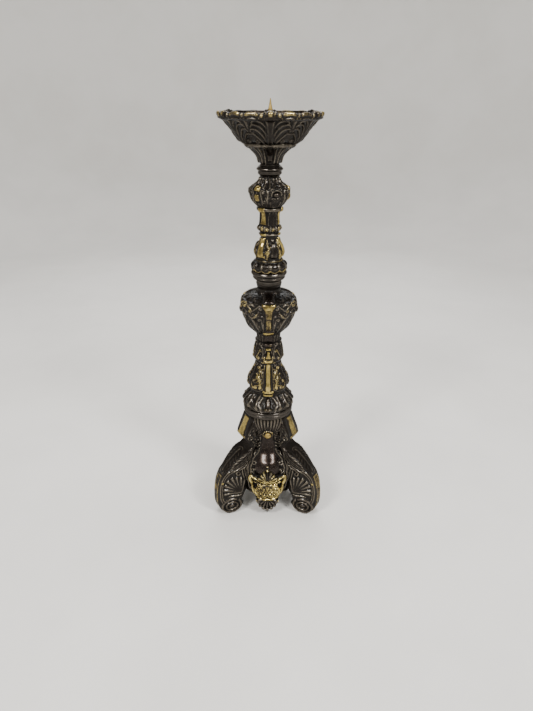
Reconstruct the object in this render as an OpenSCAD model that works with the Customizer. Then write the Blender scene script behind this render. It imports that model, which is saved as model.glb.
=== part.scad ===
// Pricket candlestick: a tripod scroll base, a stem of hollow castings and turned collars
// threaded on one tie rod, a drip pan, and a spike that unscrews from the rod.
// Millimetres. The origin is on the stem's axis, in the plane that the three feet stand on.
// The front face of the base looks along -Y.

/* [Stack heights] */
// Height of the tripod base, from the floor to the lower collar
base_h = 167; // [158:1:176]
// Height of the lower turned collar
lower_collar_h = 17; // [15:1:20]
// Height of the lower baluster
lower_baluster_h = 102; // [94:1:110]
// Height of the vase
vase_h = 85; // [78:1:92]
// Height of the middle turned collar
middle_collar_h = 18; // [16:1:21]
// Height of the upper baluster
upper_baluster_h = 84; // [78:1:90]
// Height of the knop
knop_h = 38; // [34:1:42]
// Height of the upper turned collar
upper_collar_h = 15; // [13:1:17]
// Height of the cup under the drip pan
cup_h = 25; // [22:1:28]
// Height of the drip pan, from its underside to its rim
pan_h = 35; // [31:1:39]
// Height of the spike above the rim
spike_above_rim = 14; // [10:1:20]

/* [Base] */
// Distance from the stem's axis to the middle of each foot volute
foot_reach = 72; // [66:1:78]
// Half the length of each foot volute
volute_r = 19; // [17:0.5:20]
// Thickness of each scroll leg at its outer edge
leg_edge_t = 18; // [15:0.5:21]
// Thickness of each scroll leg where it meets the stem
leg_root_t = 32; // [29:0.5:34]
// Height of the base shell's lower edge above the floor
shell_z = 32; // [29:1:36]
// Wall of the base shell
shell_wall = 4; // [3:0.5:5]
// How far a cartouche stands proud of the shell
cartouche_depth = 8; // [6:0.5:9]
// Radius of the boss that holds each cabochon
cabochon_seat_r = 6.5; // [6:0.25:7.5]

/* [Stem] */
// Wall of the hollow stem castings
cast_wall = 3.5; // [3:0.25:4]
// Thickness of the closed top and bottom of each hollow casting
cast_floor = 4; // [3.5:0.25:5]
// Width of the plain strap panels
strap_w = 11; // [8:0.5:14]
// How far the strap panels stand proud
strap_proud = 1; // [0.6:0.1:1.4]
// Turn of the upper stem's straps relative to the base, in degrees
upper_turn = 40; // [0:5:60]

/* [Drip pan] */
// Outer radius of the rim
rim_r = 63.5; // [60:0.5:67]
// Number of lobes around the rim
rim_lobes = 24; // [18:2:32]
// Wall of the pan
pan_wall = 4; // [3:0.25:5]

/* [Tie rod and pricket] */
// Radius of the iron tie rod
rod_r = 4; // [3.5:0.25:4.25]
// Radius of the threaded stud on top of the rod
stud_r = 2.5; // [2:0.25:2.75]
// Clearance of the pricket's threaded socket and of the washer, on the radius
running_gap = 0.05; // [0.02:0.01:0.1]
// Clearance of the rod in the castings, on the radius
rod_gap = 0.6; // [0.4:0.1:0.8]

/* [Hidden] */
$fn = 96;

bronze = [0.17, 0.14, 0.11];
turned = [0.26, 0.22, 0.18];
brass = [0.72, 0.56, 0.28];
iron = [0.33, 0.33, 0.35];

// Where each piece of the stack starts
lower_collar_z = base_h;
lower_baluster_z = lower_collar_z + lower_collar_h;
vase_z = lower_baluster_z + lower_baluster_h;
middle_collar_z = vase_z + vase_h;
upper_baluster_z = middle_collar_z + middle_collar_h;
knop_z = upper_baluster_z + upper_baluster_h;
upper_collar_z = knop_z + knop_h;
cup_z = upper_collar_z + upper_collar_h;
pan_z = cup_z + cup_h;
rim_z = pan_z + pan_h;
tip_z = rim_z + spike_above_rim;

// Spigots and recesses that centre each piece on the one below it
hole_r = rod_r + rod_gap;
spigot_r = 8;
spigot_h = 3;
recess_gap = 0.1;
recess_h = 3.4;
cast_roof = recess_h + cast_floor;

// Directions, as turns about the stem's axis
leg_turns = [-30, 90, 210];
face_turns = [-90, 30, 150];

// Drip pan seat, washer and pricket
seat_r = 10;
seat_h = 3;
pan_floor_z = pan_z + pan_wall + 1;
washer_z = pan_floor_z + seat_h;
washer_r = 9;
washer_t = 2;
neck_r = 3.6;
pricket_z = washer_z + washer_t;
stud_top_z = washer_z + 10;

// Rod's lower end, inside the crown of the base
crown_t = 6;
rod_washer_t = 3;
nut_h = 6.5;
nut_flats_r = 7.5;
rod_washer_z = base_h - crown_t - rod_washer_t;
nut_z = rod_washer_z - nut_h;
rod_z = nut_z - 6;

// Screws that hold the legs, and rivets that hold the cartouches, as heights above the floor
leg_screw_zs = [58, 86];
leg_screw_r = 2.5;
leg_screw_head_r = 4.5;
leg_screw_head_t = 3;
leg_screw_grip = 10;
rivet_zs = [50, 68];
rivet_r = 1.5;
rivet_head_r = 3;
rivet_head_t = 1.5;
rivet_grip = 4;

// Cabochons
cabochon_z = 140;
cabochon_seat_x = 35;
cabochon_r = 5;
cabochon_rise = 3;
shank_r = 2;
shank_in = 7;

// Outlines as [radius, height above the piece's own underside], bottom to top
lower_collar_keys = [
    [34.5, 0], [37, 2.6], [36, 6], [35.4, 6.6], [37.5, 8.6], [36.6, 11.2], [34, 13], [34.2, 15.4], [36.5, 17]
];
lower_baluster_keys = [
    [36.6, 0], [38.6, 2], [37.6, 5], [33.4, 10.6], [28.8, 15.6], [26.4, 19.6], [28.4, 26.4], [30.7, 32],
    [30, 36.5], [27, 45], [22, 55], [19.2, 62], [19, 66], [20.6, 72], [22, 77.5], [20.6, 83],
    [19.6, 88], [18.3, 95.5], [19.2, 99], [17.2, 102]
];
vase_keys = [
    [16.4, 0], [16.2, 4], [18.8, 13], [24.2, 19.5], [30.8, 27], [34.6, 34], [36.8, 41], [38.6, 44.5],
    [40, 47], [38.6, 51], [38.2, 58], [37, 62.5], [33.2, 66.4], [25, 70.5], [18, 73.2], [16.7, 77],
    [17.6, 81.5], [18.2, 85]
];
middle_collar_keys = [
    [17.9, 0], [17.3, 3], [17.7, 4.8], [21.2, 6.6], [22.3, 8.4], [21.6, 10.2], [21.5, 11], [24, 12.8],
    [24.7, 14.8], [23.8, 16.6], [22.4, 18]
];
upper_baluster_keys = [
    [22, 0], [24.2, 2.6], [24.4, 7.6], [22.4, 11.6], [18.4, 14.8], [18, 20], [19.2, 25.6], [17.2, 33.5],
    [14, 39.5], [12.7, 45], [13.8, 49.6], [12.9, 52.4], [15.2, 57], [13.6, 61.6], [12.2, 68],
    [11.9, 75], [12.8, 78.4], [16.2, 80.6], [16.3, 83], [15.2, 84]
];
knop_keys = [
    [15.2, 0], [17.2, 3.2], [21.8, 8.2], [24.8, 13.6], [25.8, 19], [25, 24.4], [20.4, 27.6],
    [16, 30], [13.6, 33], [12.8, 38]
];
upper_collar_keys = [
    [12.8, 0], [13.6, 1.4], [15.4, 3.8], [14.9, 6], [17.2, 8.8], [15.4, 11.2], [13.2, 13], [11.8, 15]
];
cup_keys = [
    [11.8, 0], [14.1, 2.8], [14.4, 5], [16.4, 9.6], [20.4, 14.4], [25, 18], [29.4, 21.2], [30.6, 23.4],
    [29.6, 25]
];
pan_keys = [
    [29.6, 0], [36.4, 1.6], [42, 5], [49, 13.8], [55, 20.8], [59, 25], [63.3, 28], [63.5, 32], [61, 35]
];
shell_keys = [
    [43.4, 32], [46.2, 40.4], [47, 54.7], [47.6, 66], [48.4, 75], [47, 84], [43, 92.5], [37.4, 100],
    [32.2, 107], [28.6, 115], [26.6, 124], [27.4, 132], [31, 140], [33.2, 150], [34, 158], [33.4, 164], [32, 167]
];
pricket_keys = [
    [7.5, 0], [7.5, 2.4], [5.2, 4.6], [4.7, 7], [4, 14], [2.7, 27], [1.6, 32], [0.5, 39]
];

// Distances from the axis between which a leg thins down
leg_root_x = 52;
leg_edge_x = 93;

// Side view of a leg as [distance from the stem's axis, height], round its whole edge
leg_top = [26, base_h];
leg_outer = [
    [35.5, base_h], [40.4, 154.5], [45, 143.5], [47, 135.5], [45.2, 129], [40.4, 124.6], [36.8, 118.5],
    [43, 112], [54, 106.2], [67, 95], [80, 81], [88.5, 66], [92.5, 50], [93.5, 34], [92.2, 20],
    [87, 7.5], [foot_reach + 8, 0]
];
leg_inner = [
    [foot_reach - 7, 0], [foot_reach - 16.6, 6.5], [foot_reach - volute_r, 15],
    [foot_reach - 17.4, 24], [51, 34], [44, 43], [26, 52]
];

// Radius of an outline at height z
function radius_at(keys, z) = lookup(z, [for (k = keys) [k.y, k.x]]);

// Outline stretched to a new height
function fit(keys, h) = [for (k = keys) [k.x, k.y * h / keys[len(keys) - 1].y]];

// Slopes that keep a smooth outline from overshooting its keys
function secant(k, i) = (k[i + 1].x - k[i].x) / (k[i + 1].y - k[i].y);
function slope(k, i) =
    i == 0 ? secant(k, 0)
    : i == len(k) - 1 ? secant(k, i - 1)
    : secant(k, i - 1) * secant(k, i) <= 0 ? 0
    : 2 / (1 / secant(k, i - 1) + 1 / secant(k, i));

// Cubic piece between two keys, t from 0 to 1
function blend(k, i, t) = let (
    h = k[i + 1].y - k[i].y,
    a = 2 * t ^ 3 - 3 * t ^ 2 + 1,
    b = t ^ 3 - 2 * t ^ 2 + t,
    c = t ^ 3 - t ^ 2
) a * k[i].x + b * h * slope(k, i) + (1 - a) * k[i + 1].x + c * h * slope(k, i + 1);

// Smooth outline through its keys, n steps to a key
function smooth(k, n = 3) = concat(
    [for (i = [0:len(k) - 2], s = [0:n - 1])
        [blend(k, i, s / n), k[i].y + (k[i + 1].y - k[i].y) * s / n]],
    [k[len(k) - 1]]
);

// Curve through points in any direction, n steps to a point
function curve(p, n = 3) = let (q = concat([p[0]], p, [p[len(p) - 1]])) concat(
    [for (i = [1:len(p) - 1], s = [0:n - 1]) let (t = s / n)
        0.5 * (2 * q[i] + (q[i + 1] - q[i - 1]) * t
            + (2 * q[i - 1] - 5 * q[i] + 4 * q[i + 1] - q[i + 2]) * t ^ 2
            + (3 * q[i] - q[i - 1] - 3 * q[i + 1] + q[i + 2]) * t ^ 3)],
    [p[len(p) - 1]]
);

// Points of an outline strictly between two heights, top to bottom, moved in by a wall
function inside(o, wall, z0, z1) = concat(
    [[radius_at(o, z1) - wall, z1]],
    [for (i = [len(o) - 1:-1:0]) if (o[i].y > z0 + 0.5 && o[i].y < z1 - 0.5) [o[i].x - wall, o[i].y]],
    [[radius_at(o, z0) - wall, z0]]
);

// Hollow casting with a closed floor and roof, bored for the rod
module casting(keys, h) {
    o = smooth(fit(keys, h));
    difference() {
        rotate_extrude()
            polygon(concat(
                [[hole_r, 0]], o, [[hole_r, h], [hole_r, h - cast_roof]],
                inside(o, cast_wall, cast_floor, h - cast_roof), [[hole_r, cast_floor]]
            ));
        top_recess(h);
    }
    spigot();
}

// Solid turned piece, bored for the rod
module turning(keys, h) {
    difference() {
        rotate_extrude() polygon(concat([[hole_r, 0]], smooth(fit(keys, h)), [[hole_r, h]]));
        top_recess(h);
    }
    spigot();
}

// Ring on the underside that sits in the recess of the piece below
module spigot() {
    rotate_extrude() translate([hole_r, -spigot_h]) square([spigot_r - hole_r, spigot_h]);
}

// Recess in the top for the spigot of the piece above
module top_recess(h) {
    translate([0, 0, h - recess_h]) cylinder(r = spigot_r + recess_gap, h = recess_h + 1);
}

// Three plain panels that follow an outline between two heights
module straps(keys, h, z0, z1, w = strap_w) {
    o = smooth(fit(keys, h));
    for (a = face_turns)
        intersection() {
            rotate_extrude() polygon(concat(
                [for (p = o) if (p.y >= z0 && p.y <= z1) [p.x - 1, p.y]],
                [for (i = [len(o) - 1:-1:0]) if (o[i].y >= z0 && o[i].y <= z1)
                    [o[i].x + strap_proud, o[i].y]]
            ));
            rotate(a) translate([0, -w / 2, 0]) cube([100, w, h]);
        }
}

// Ring of upright notches that leaves lobes between them
module notches(r, z0, h, count, notch_r) {
    for (i = [0:count - 1])
        rotate(i * 360 / count) translate([r, 0, z0]) cylinder(r = notch_r, h = h, $fn = 24);
}

module pricket() color(brass) {
    h = tip_z - pricket_z;
    difference() {
        union() {
            translate([0, 0, pricket_z])
                rotate_extrude() polygon(concat([[0, 0]], smooth(fit(pricket_keys, h)), [[0, h]]));
            translate([0, 0, washer_z + 0.2]) cylinder(r = neck_r, h = washer_t);
        }
        translate([0, 0, washer_z]) cylinder(r = stud_r + running_gap, h = stud_top_z - washer_z + 0.5);
    }
}

module pricket_washer() color(brass)
    translate([0, 0, washer_z]) rotate_extrude() polygon([
        [neck_r + running_gap, 0], [washer_r - 0.6, 0], [washer_r, 0.6],
        [washer_r, 1.2], [washer_r - 0.8, washer_t], [neck_r + running_gap, washer_t]
    ]);

module drip_pan() color(bronze) translate([0, 0, pan_z]) {
    o = smooth(fit([for (k = pan_keys) [k.x * rim_r / pan_keys[7].x, k.y]], pan_h));
    floor_z = pan_floor_z - pan_z;
    bowl = [for (i = [len(o) - 1:-1:0])
        if (o[i].x < rim_r - 5 && o[i].y > 1 && o[i].y < pan_h - 6) [o[i].x - pan_wall, o[i].y + pan_wall]];
    difference() {
        rotate_extrude() polygon(concat(
            [[hole_r, 0]], o, [[rim_r - 6, pan_h - 1]], bowl,
            [[30, floor_z], [seat_r, floor_z], [seat_r, floor_z + seat_h], [hole_r, floor_z + seat_h]]
        ));
        notches(rim_r + 0.6, pan_h - 9, 10, rim_lobes, 1.6);
    }
    spigot();
}

module pan_cup() color(bronze) translate([0, 0, cup_z]) turning(cup_keys, cup_h);

module upper_collar() color(turned) translate([0, 0, upper_collar_z]) turning(upper_collar_keys, upper_collar_h);

module knop() color(bronze) translate([0, 0, knop_z]) rotate(-upper_turn) {
    casting(knop_keys, knop_h);
    straps(knop_keys, knop_h, 4, 27);
}

module upper_baluster() color(bronze) translate([0, 0, upper_baluster_z]) rotate(-upper_turn) {
    casting(upper_baluster_keys, upper_baluster_h);
    straps(upper_baluster_keys, upper_baluster_h, 15, 34);
    straps(upper_baluster_keys, upper_baluster_h, 62, 80, strap_w * 0.8);
}

module middle_collar() color(turned)
    translate([0, 0, middle_collar_z]) turning(middle_collar_keys, middle_collar_h);

module vase() color(bronze) translate([0, 0, vase_z]) {
    casting(vase_keys, vase_h);
    straps(vase_keys, vase_h, 14, 44, strap_w * 1.3);
}

module lower_baluster() color(bronze) translate([0, 0, lower_baluster_z]) {
    difference() {
        casting(lower_baluster_keys, lower_baluster_h);
        notches(40.6, -1, 9, 18, 2.4);
    }
    straps(lower_baluster_keys, lower_baluster_h, 21, 64);
}

module lower_collar() color(turned) translate([0, 0, lower_collar_z]) turning(lower_collar_keys, lower_collar_h);

// Outside of the base shell as a solid, grown by a gap
module shell_form(grow = 0) {
    o = smooth(fit_shell());
    rotate_extrude() polygon(concat([[0, shell_z - 30]], [[o[0].x + grow, shell_z - 30]],
        [for (p = o) [p.x + grow, p.y]], [[0, base_h]]));
}

// Shell outline between the shell's lower edge and the top of the base
function fit_shell() = let (k0 = shell_keys[0].y, k1 = shell_keys[len(shell_keys) - 1].y)
    [for (k = shell_keys) [k.x, shell_z + (k.y - k0) * (base_h - shell_z) / (k1 - k0)]];

// Distance from the axis of the flattest seat that a head of radius r has inside the shell
function inner_seat(z, r) = let (o = smooth(fit_shell()),
    wall_r = min(radius_at(o, z - r), radius_at(o, z), radius_at(o, z + r)) - shell_wall)
    sqrt(wall_r ^ 2 - r ^ 2) - 0.1;

// Cylinder that points away from the axis in the X direction
module radial(r, x0, x1, z) {
    translate([x0, 0, z]) rotate([0, 90, 0]) cylinder(r = r, h = x1 - x0, $fn = 48);
}

module base_shell() color(bronze) {
    o = smooth(fit_shell());
    difference() {
        union() {
            rotate_extrude() polygon(concat(
                o, [[hole_r, base_h], [hole_r, base_h - crown_t]],
                inside(o, shell_wall, shell_z, base_h - crown_t)
            ));
            for (a = face_turns) rotate(a) radial(cabochon_seat_r, 27, cabochon_seat_x, cabochon_z);
        }
        top_recess(base_h);
        for (a = leg_turns, z = leg_screw_zs) rotate(a) radial(leg_screw_r + 0.1, 30, 60, z);
        for (a = face_turns, z = rivet_zs) rotate(a) radial(rivet_r + 0.1, 30, 60, z);
        for (a = face_turns) rotate(a) radial(shank_r + 0.05, cabochon_seat_x - shank_in - 0.5, 40, cabochon_z);
    }
}

// Scroll leg that points along X, as wide at the stem as leg_root_t and narrower at its outer edge
module leg() color(bronze) {
    root = leg_root_t / 2;
    edge = leg_edge_t / 2;
    plan = [[20, root - 2], [leg_root_x, root], [leg_edge_x, edge], [leg_edge_x + 10, edge]];
    difference() {
        intersection() {
            rotate([90, 0, 0]) translate([0, 0, -leg_root_t])
                linear_extrude(2 * leg_root_t) polygon(concat([leg_top], curve(leg_outer), curve(leg_inner)));
            linear_extrude(base_h)
                polygon(concat(plan, [for (i = [len(plan) - 1:-1:0]) [plan[i].x, -plan[i].y]]));
        }
        shell_form(0.1);
        for (z = leg_screw_zs) radial(leg_screw_r + 0.05, 30, radius_at(fit_shell(), z) + leg_screw_grip + 0.5, z);
    }
}

module leg_right() rotate(leg_turns[0]) leg();
module leg_back() rotate(leg_turns[1]) leg();
module leg_left() rotate(leg_turns[2]) leg();

// Front view of a cartouche: a fan of lobes, a basket between side scrolls, and a hanging shell
module cartouche_outline() {
    for (i = [-2:2]) translate([0, 66]) rotate(i * 26) translate([0, 10]) circle(r = 4, $fn = 32);
    translate([0, 66]) circle(r = 12, $fn = 48);
    translate([0, 90]) circle(r = 2.4, $fn = 24);
    translate([-2.4, 66]) square([4.8, 24]);
    polygon([[-19, 62], [-18, 44], [-12, 31], [12, 31], [18, 44], [19, 62]]);
    for (s = [-1, 1]) {
        translate([s * 26, 69]) circle(r = 4.4, $fn = 32);
        translate([s * 23, 60]) circle(r = 6, $fn = 32);
        translate([s * 19.5, 49]) circle(r = 6, $fn = 32);
        translate([s * 16, 38]) circle(r = 6, $fn = 32);
    }
    for (i = [-2:2]) translate([0, 26]) rotate(180 + i * 32) translate([0, 11]) circle(r = 5, $fn = 32);
    translate([0, 27]) circle(r = 13, $fn = 48);
}

// Cartouche on the side that faces along X
module cartouche() color(brass) {
    o = smooth(fit_shell());
    front = concat([[radius_at(o, shell_z) + 2, 8]], [for (p = o) if (p.y < 100) p]);
    difference() {
        intersection() {
            rotate([90, 0, 90]) linear_extrude(80) cartouche_outline();
            rotate_extrude() polygon(concat(
                [for (p = front) [p.x + 0.1, p.y]],
                [for (i = [len(front) - 1:-1:0]) [front[i].x + cartouche_depth, front[i].y]]
            ));
        }
        for (z = rivet_zs) radial(rivet_r + 0.05, 30, radius_at(o, z) + rivet_grip + 0.3, z);
    }
}

module cartouche_front() rotate(face_turns[0]) cartouche();
module cartouche_right() rotate(face_turns[1]) cartouche();
module cartouche_left() rotate(face_turns[2]) cartouche();

// Domed boss with a shank, pointing along X
module cabochon() color(brass)
    translate([cabochon_seat_x, 0, cabochon_z]) rotate([0, 90, 0])
        rotate_extrude($fn = 48) polygon(concat(
            [[0, -shank_in], [shank_r, -shank_in], [shank_r, 0]],
            [for (t = [0:15:90]) [cabochon_r * cos(t), cabochon_rise * sin(t)]]
        ));

module cabochon_front() rotate(face_turns[0]) cabochon();
module cabochon_right() rotate(face_turns[1]) cabochon();
module cabochon_left() rotate(face_turns[2]) cabochon();

module leg_screws() color(iron)
    for (a = leg_turns, z = leg_screw_zs) rotate(a) {
        seat = inner_seat(z, leg_screw_head_r);
        radial(leg_screw_r, seat - 0.5, radius_at(fit_shell(), z) + leg_screw_grip, z);
        radial(leg_screw_head_r, seat - leg_screw_head_t, seat, z);
    }

module cartouche_rivets() color(brass)
    for (a = face_turns, z = rivet_zs) rotate(a) {
        seat = inner_seat(z, rivet_head_r);
        radial(rivet_r, seat - 0.5, radius_at(fit_shell(), z) + rivet_grip, z);
        radial(rivet_head_r, seat - rivet_head_t, seat, z);
    }

module tie_rod() color(iron) {
    translate([0, 0, rod_z]) cylinder(r = rod_r, h = pan_floor_z - rod_z);
    translate([0, 0, pan_floor_z]) cylinder(r = stud_r, h = stud_top_z - pan_floor_z);
}

module rod_washer() color(iron) translate([0, 0, rod_washer_z]) difference() {
    cylinder(r = 12, h = rod_washer_t);
    translate([0, 0, -1]) cylinder(r = rod_r + 0.3, h = rod_washer_t + 2);
}

module rod_nut() color(iron) translate([0, 0, nut_z]) difference() {
    cylinder(r = nut_flats_r, h = nut_h, $fn = 6);
    translate([0, 0, -1]) cylinder(r = rod_r + 0.02, h = nut_h + 2);
}

pricket();
pricket_washer();
drip_pan();
pan_cup();
upper_collar();
knop();
upper_baluster();
middle_collar();
vase();
lower_baluster();
lower_collar();
base_shell();
leg_right();
leg_back();
leg_left();
cartouche_front();
cartouche_right();
cartouche_left();
cabochon_front();
cabochon_right();
cabochon_left();
leg_screws();
cartouche_rivets();
tie_rod();
rod_washer();
rod_nut();
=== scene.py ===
"""Pricket candlestick: the looks of the cast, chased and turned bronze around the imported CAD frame.

Ornament is modelled as relief: each casting is a fine grid over its outline, and leaves, scrolls, beads,
fans and panels are drawn on it as heights in millimetres. Lengths here are millimetres until a mesh is made.
"""
import math

import bpy
import numpy as np
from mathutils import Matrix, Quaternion, Vector


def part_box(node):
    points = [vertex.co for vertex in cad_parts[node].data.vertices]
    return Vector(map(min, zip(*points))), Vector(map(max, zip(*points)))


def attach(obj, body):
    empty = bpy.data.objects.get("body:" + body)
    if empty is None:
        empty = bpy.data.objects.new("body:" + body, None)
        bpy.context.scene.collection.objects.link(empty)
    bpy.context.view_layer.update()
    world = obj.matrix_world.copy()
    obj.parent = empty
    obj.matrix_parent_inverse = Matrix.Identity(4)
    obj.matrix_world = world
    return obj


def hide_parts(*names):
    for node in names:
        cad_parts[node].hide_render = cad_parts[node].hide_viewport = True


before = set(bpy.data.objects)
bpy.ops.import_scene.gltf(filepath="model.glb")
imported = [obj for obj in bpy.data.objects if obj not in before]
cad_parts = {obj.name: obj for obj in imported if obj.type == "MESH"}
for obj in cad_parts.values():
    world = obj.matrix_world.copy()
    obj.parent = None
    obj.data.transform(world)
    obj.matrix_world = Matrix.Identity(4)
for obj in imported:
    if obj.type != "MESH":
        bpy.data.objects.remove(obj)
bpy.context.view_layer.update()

MM = 0.001
SPIGOT = 3.0          # ring under each stem piece that sits in the piece below
ROD_HOLE = 4.6        # bore of the stem pieces
SIXTH = 60.0          # the ornament repeats every 120 degrees and is its own mirror image
FACE_TURNS = (-90.0, 30.0, 150.0)
LEG_TURNS = (-30.0, 90.0, 210.0)
UPPER_TURN = -40.0    # the upper stem is turned on the rod


def low(node):
    """Underside of a stem piece in mm, without its spigot."""
    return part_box(node)[0][2] / MM + SPIGOT


# ---------------------------------------------------------------- outlines

def outline(keys, rows):
    """A smooth outline through (radius, height) keys that never overshoots, as evenly spaced rows."""
    k = np.array(keys, float)
    r, z = k[:, 0], k[:, 1]
    step = np.diff(z)
    secant = np.diff(r) / step
    slope = np.zeros(len(k))
    slope[0], slope[-1] = secant[0], secant[-1]
    same = secant[:-1] * secant[1:] > 0
    slope[1:-1][same] = 2 / (1 / secant[:-1][same] + 1 / secant[1:][same])
    fine = np.linspace(z[0], z[-1], 40 * len(k))
    i = np.clip(np.searchsorted(z, fine, "right") - 1, 0, len(k) - 2)
    t = (fine - z[i]) / step[i]
    a, b, c = 2 * t**3 - 3 * t**2 + 1, t**3 - 2 * t**2 + t, t**3 - t**2
    fine_r = a * r[i] + b * step[i] * slope[i] + (1 - a) * r[i + 1] + c * step[i] * slope[i + 1]
    return even(np.column_stack([fine_r, fine]), rows)


def curve(points, rows):
    """A smooth curve through 2-D points in any direction, as rows evenly spaced along it."""
    return even(spline(points, 16), rows)


def spline(points, steps):
    """Catmull-Rom curve through 2-D points."""
    p = np.array(points, float)
    q = np.vstack([2 * p[0] - p[1], p, 2 * p[-1] - p[-2]])
    t = np.linspace(0, 1, steps, endpoint=False)[:, None]
    parts = [
        0.5 * (2 * q[i] + (q[i + 1] - q[i - 1]) * t
               + (2 * q[i - 1] - 5 * q[i] + 4 * q[i + 1] - q[i + 2]) * t**2
               + (3 * q[i] - q[i - 1] - 3 * q[i + 1] + q[i + 2]) * t**3)
        for i in range(1, len(p))
    ]
    return np.vstack(parts + [p[-1:]])


def arc_length(points):
    """Length along a line of points, from 0 at the first."""
    return np.concatenate([[0], np.cumsum(np.hypot(*np.diff(points, axis=0).T))])


def even(points, rows):
    """The same line with its points evenly spaced."""
    length = arc_length(points)
    at = np.linspace(0, length[-1], rows)
    return np.column_stack([np.interp(at, length, points[:, 0]), np.interp(at, length, points[:, 1])])


def normals(points):
    """Unit normals to the right of an outline that runs upwards, so away from the axis."""
    d = np.gradient(points, axis=0)
    d /= np.maximum(np.hypot(d[:, 0], d[:, 1]), 1e-9)[:, None]
    return np.column_stack([d[:, 1], -d[:, 0]])


def blur(grid, size):
    """Box blur of a 2-D grid, twice."""
    span = 2 * size + 1
    for _ in range(2):
        for axis in (0, 1):
            pad = [(0, 0), (0, 0)]
            pad[axis] = (size + 1, size)
            total = np.cumsum(np.pad(grid, pad, mode="edge"), axis=axis)
            grid = (total[span:] - total[:-span] if axis == 0 else total[:, span:] - total[:, :-span]) / span
    return grid


def ease(x, a, b):
    """0 below a, 1 above b, smooth between."""
    t = np.clip((x - a) / (b - a), 0, 1)
    return t * t * (3 - 2 * t)


# ---------------------------------------------------------------- ornament

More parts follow.
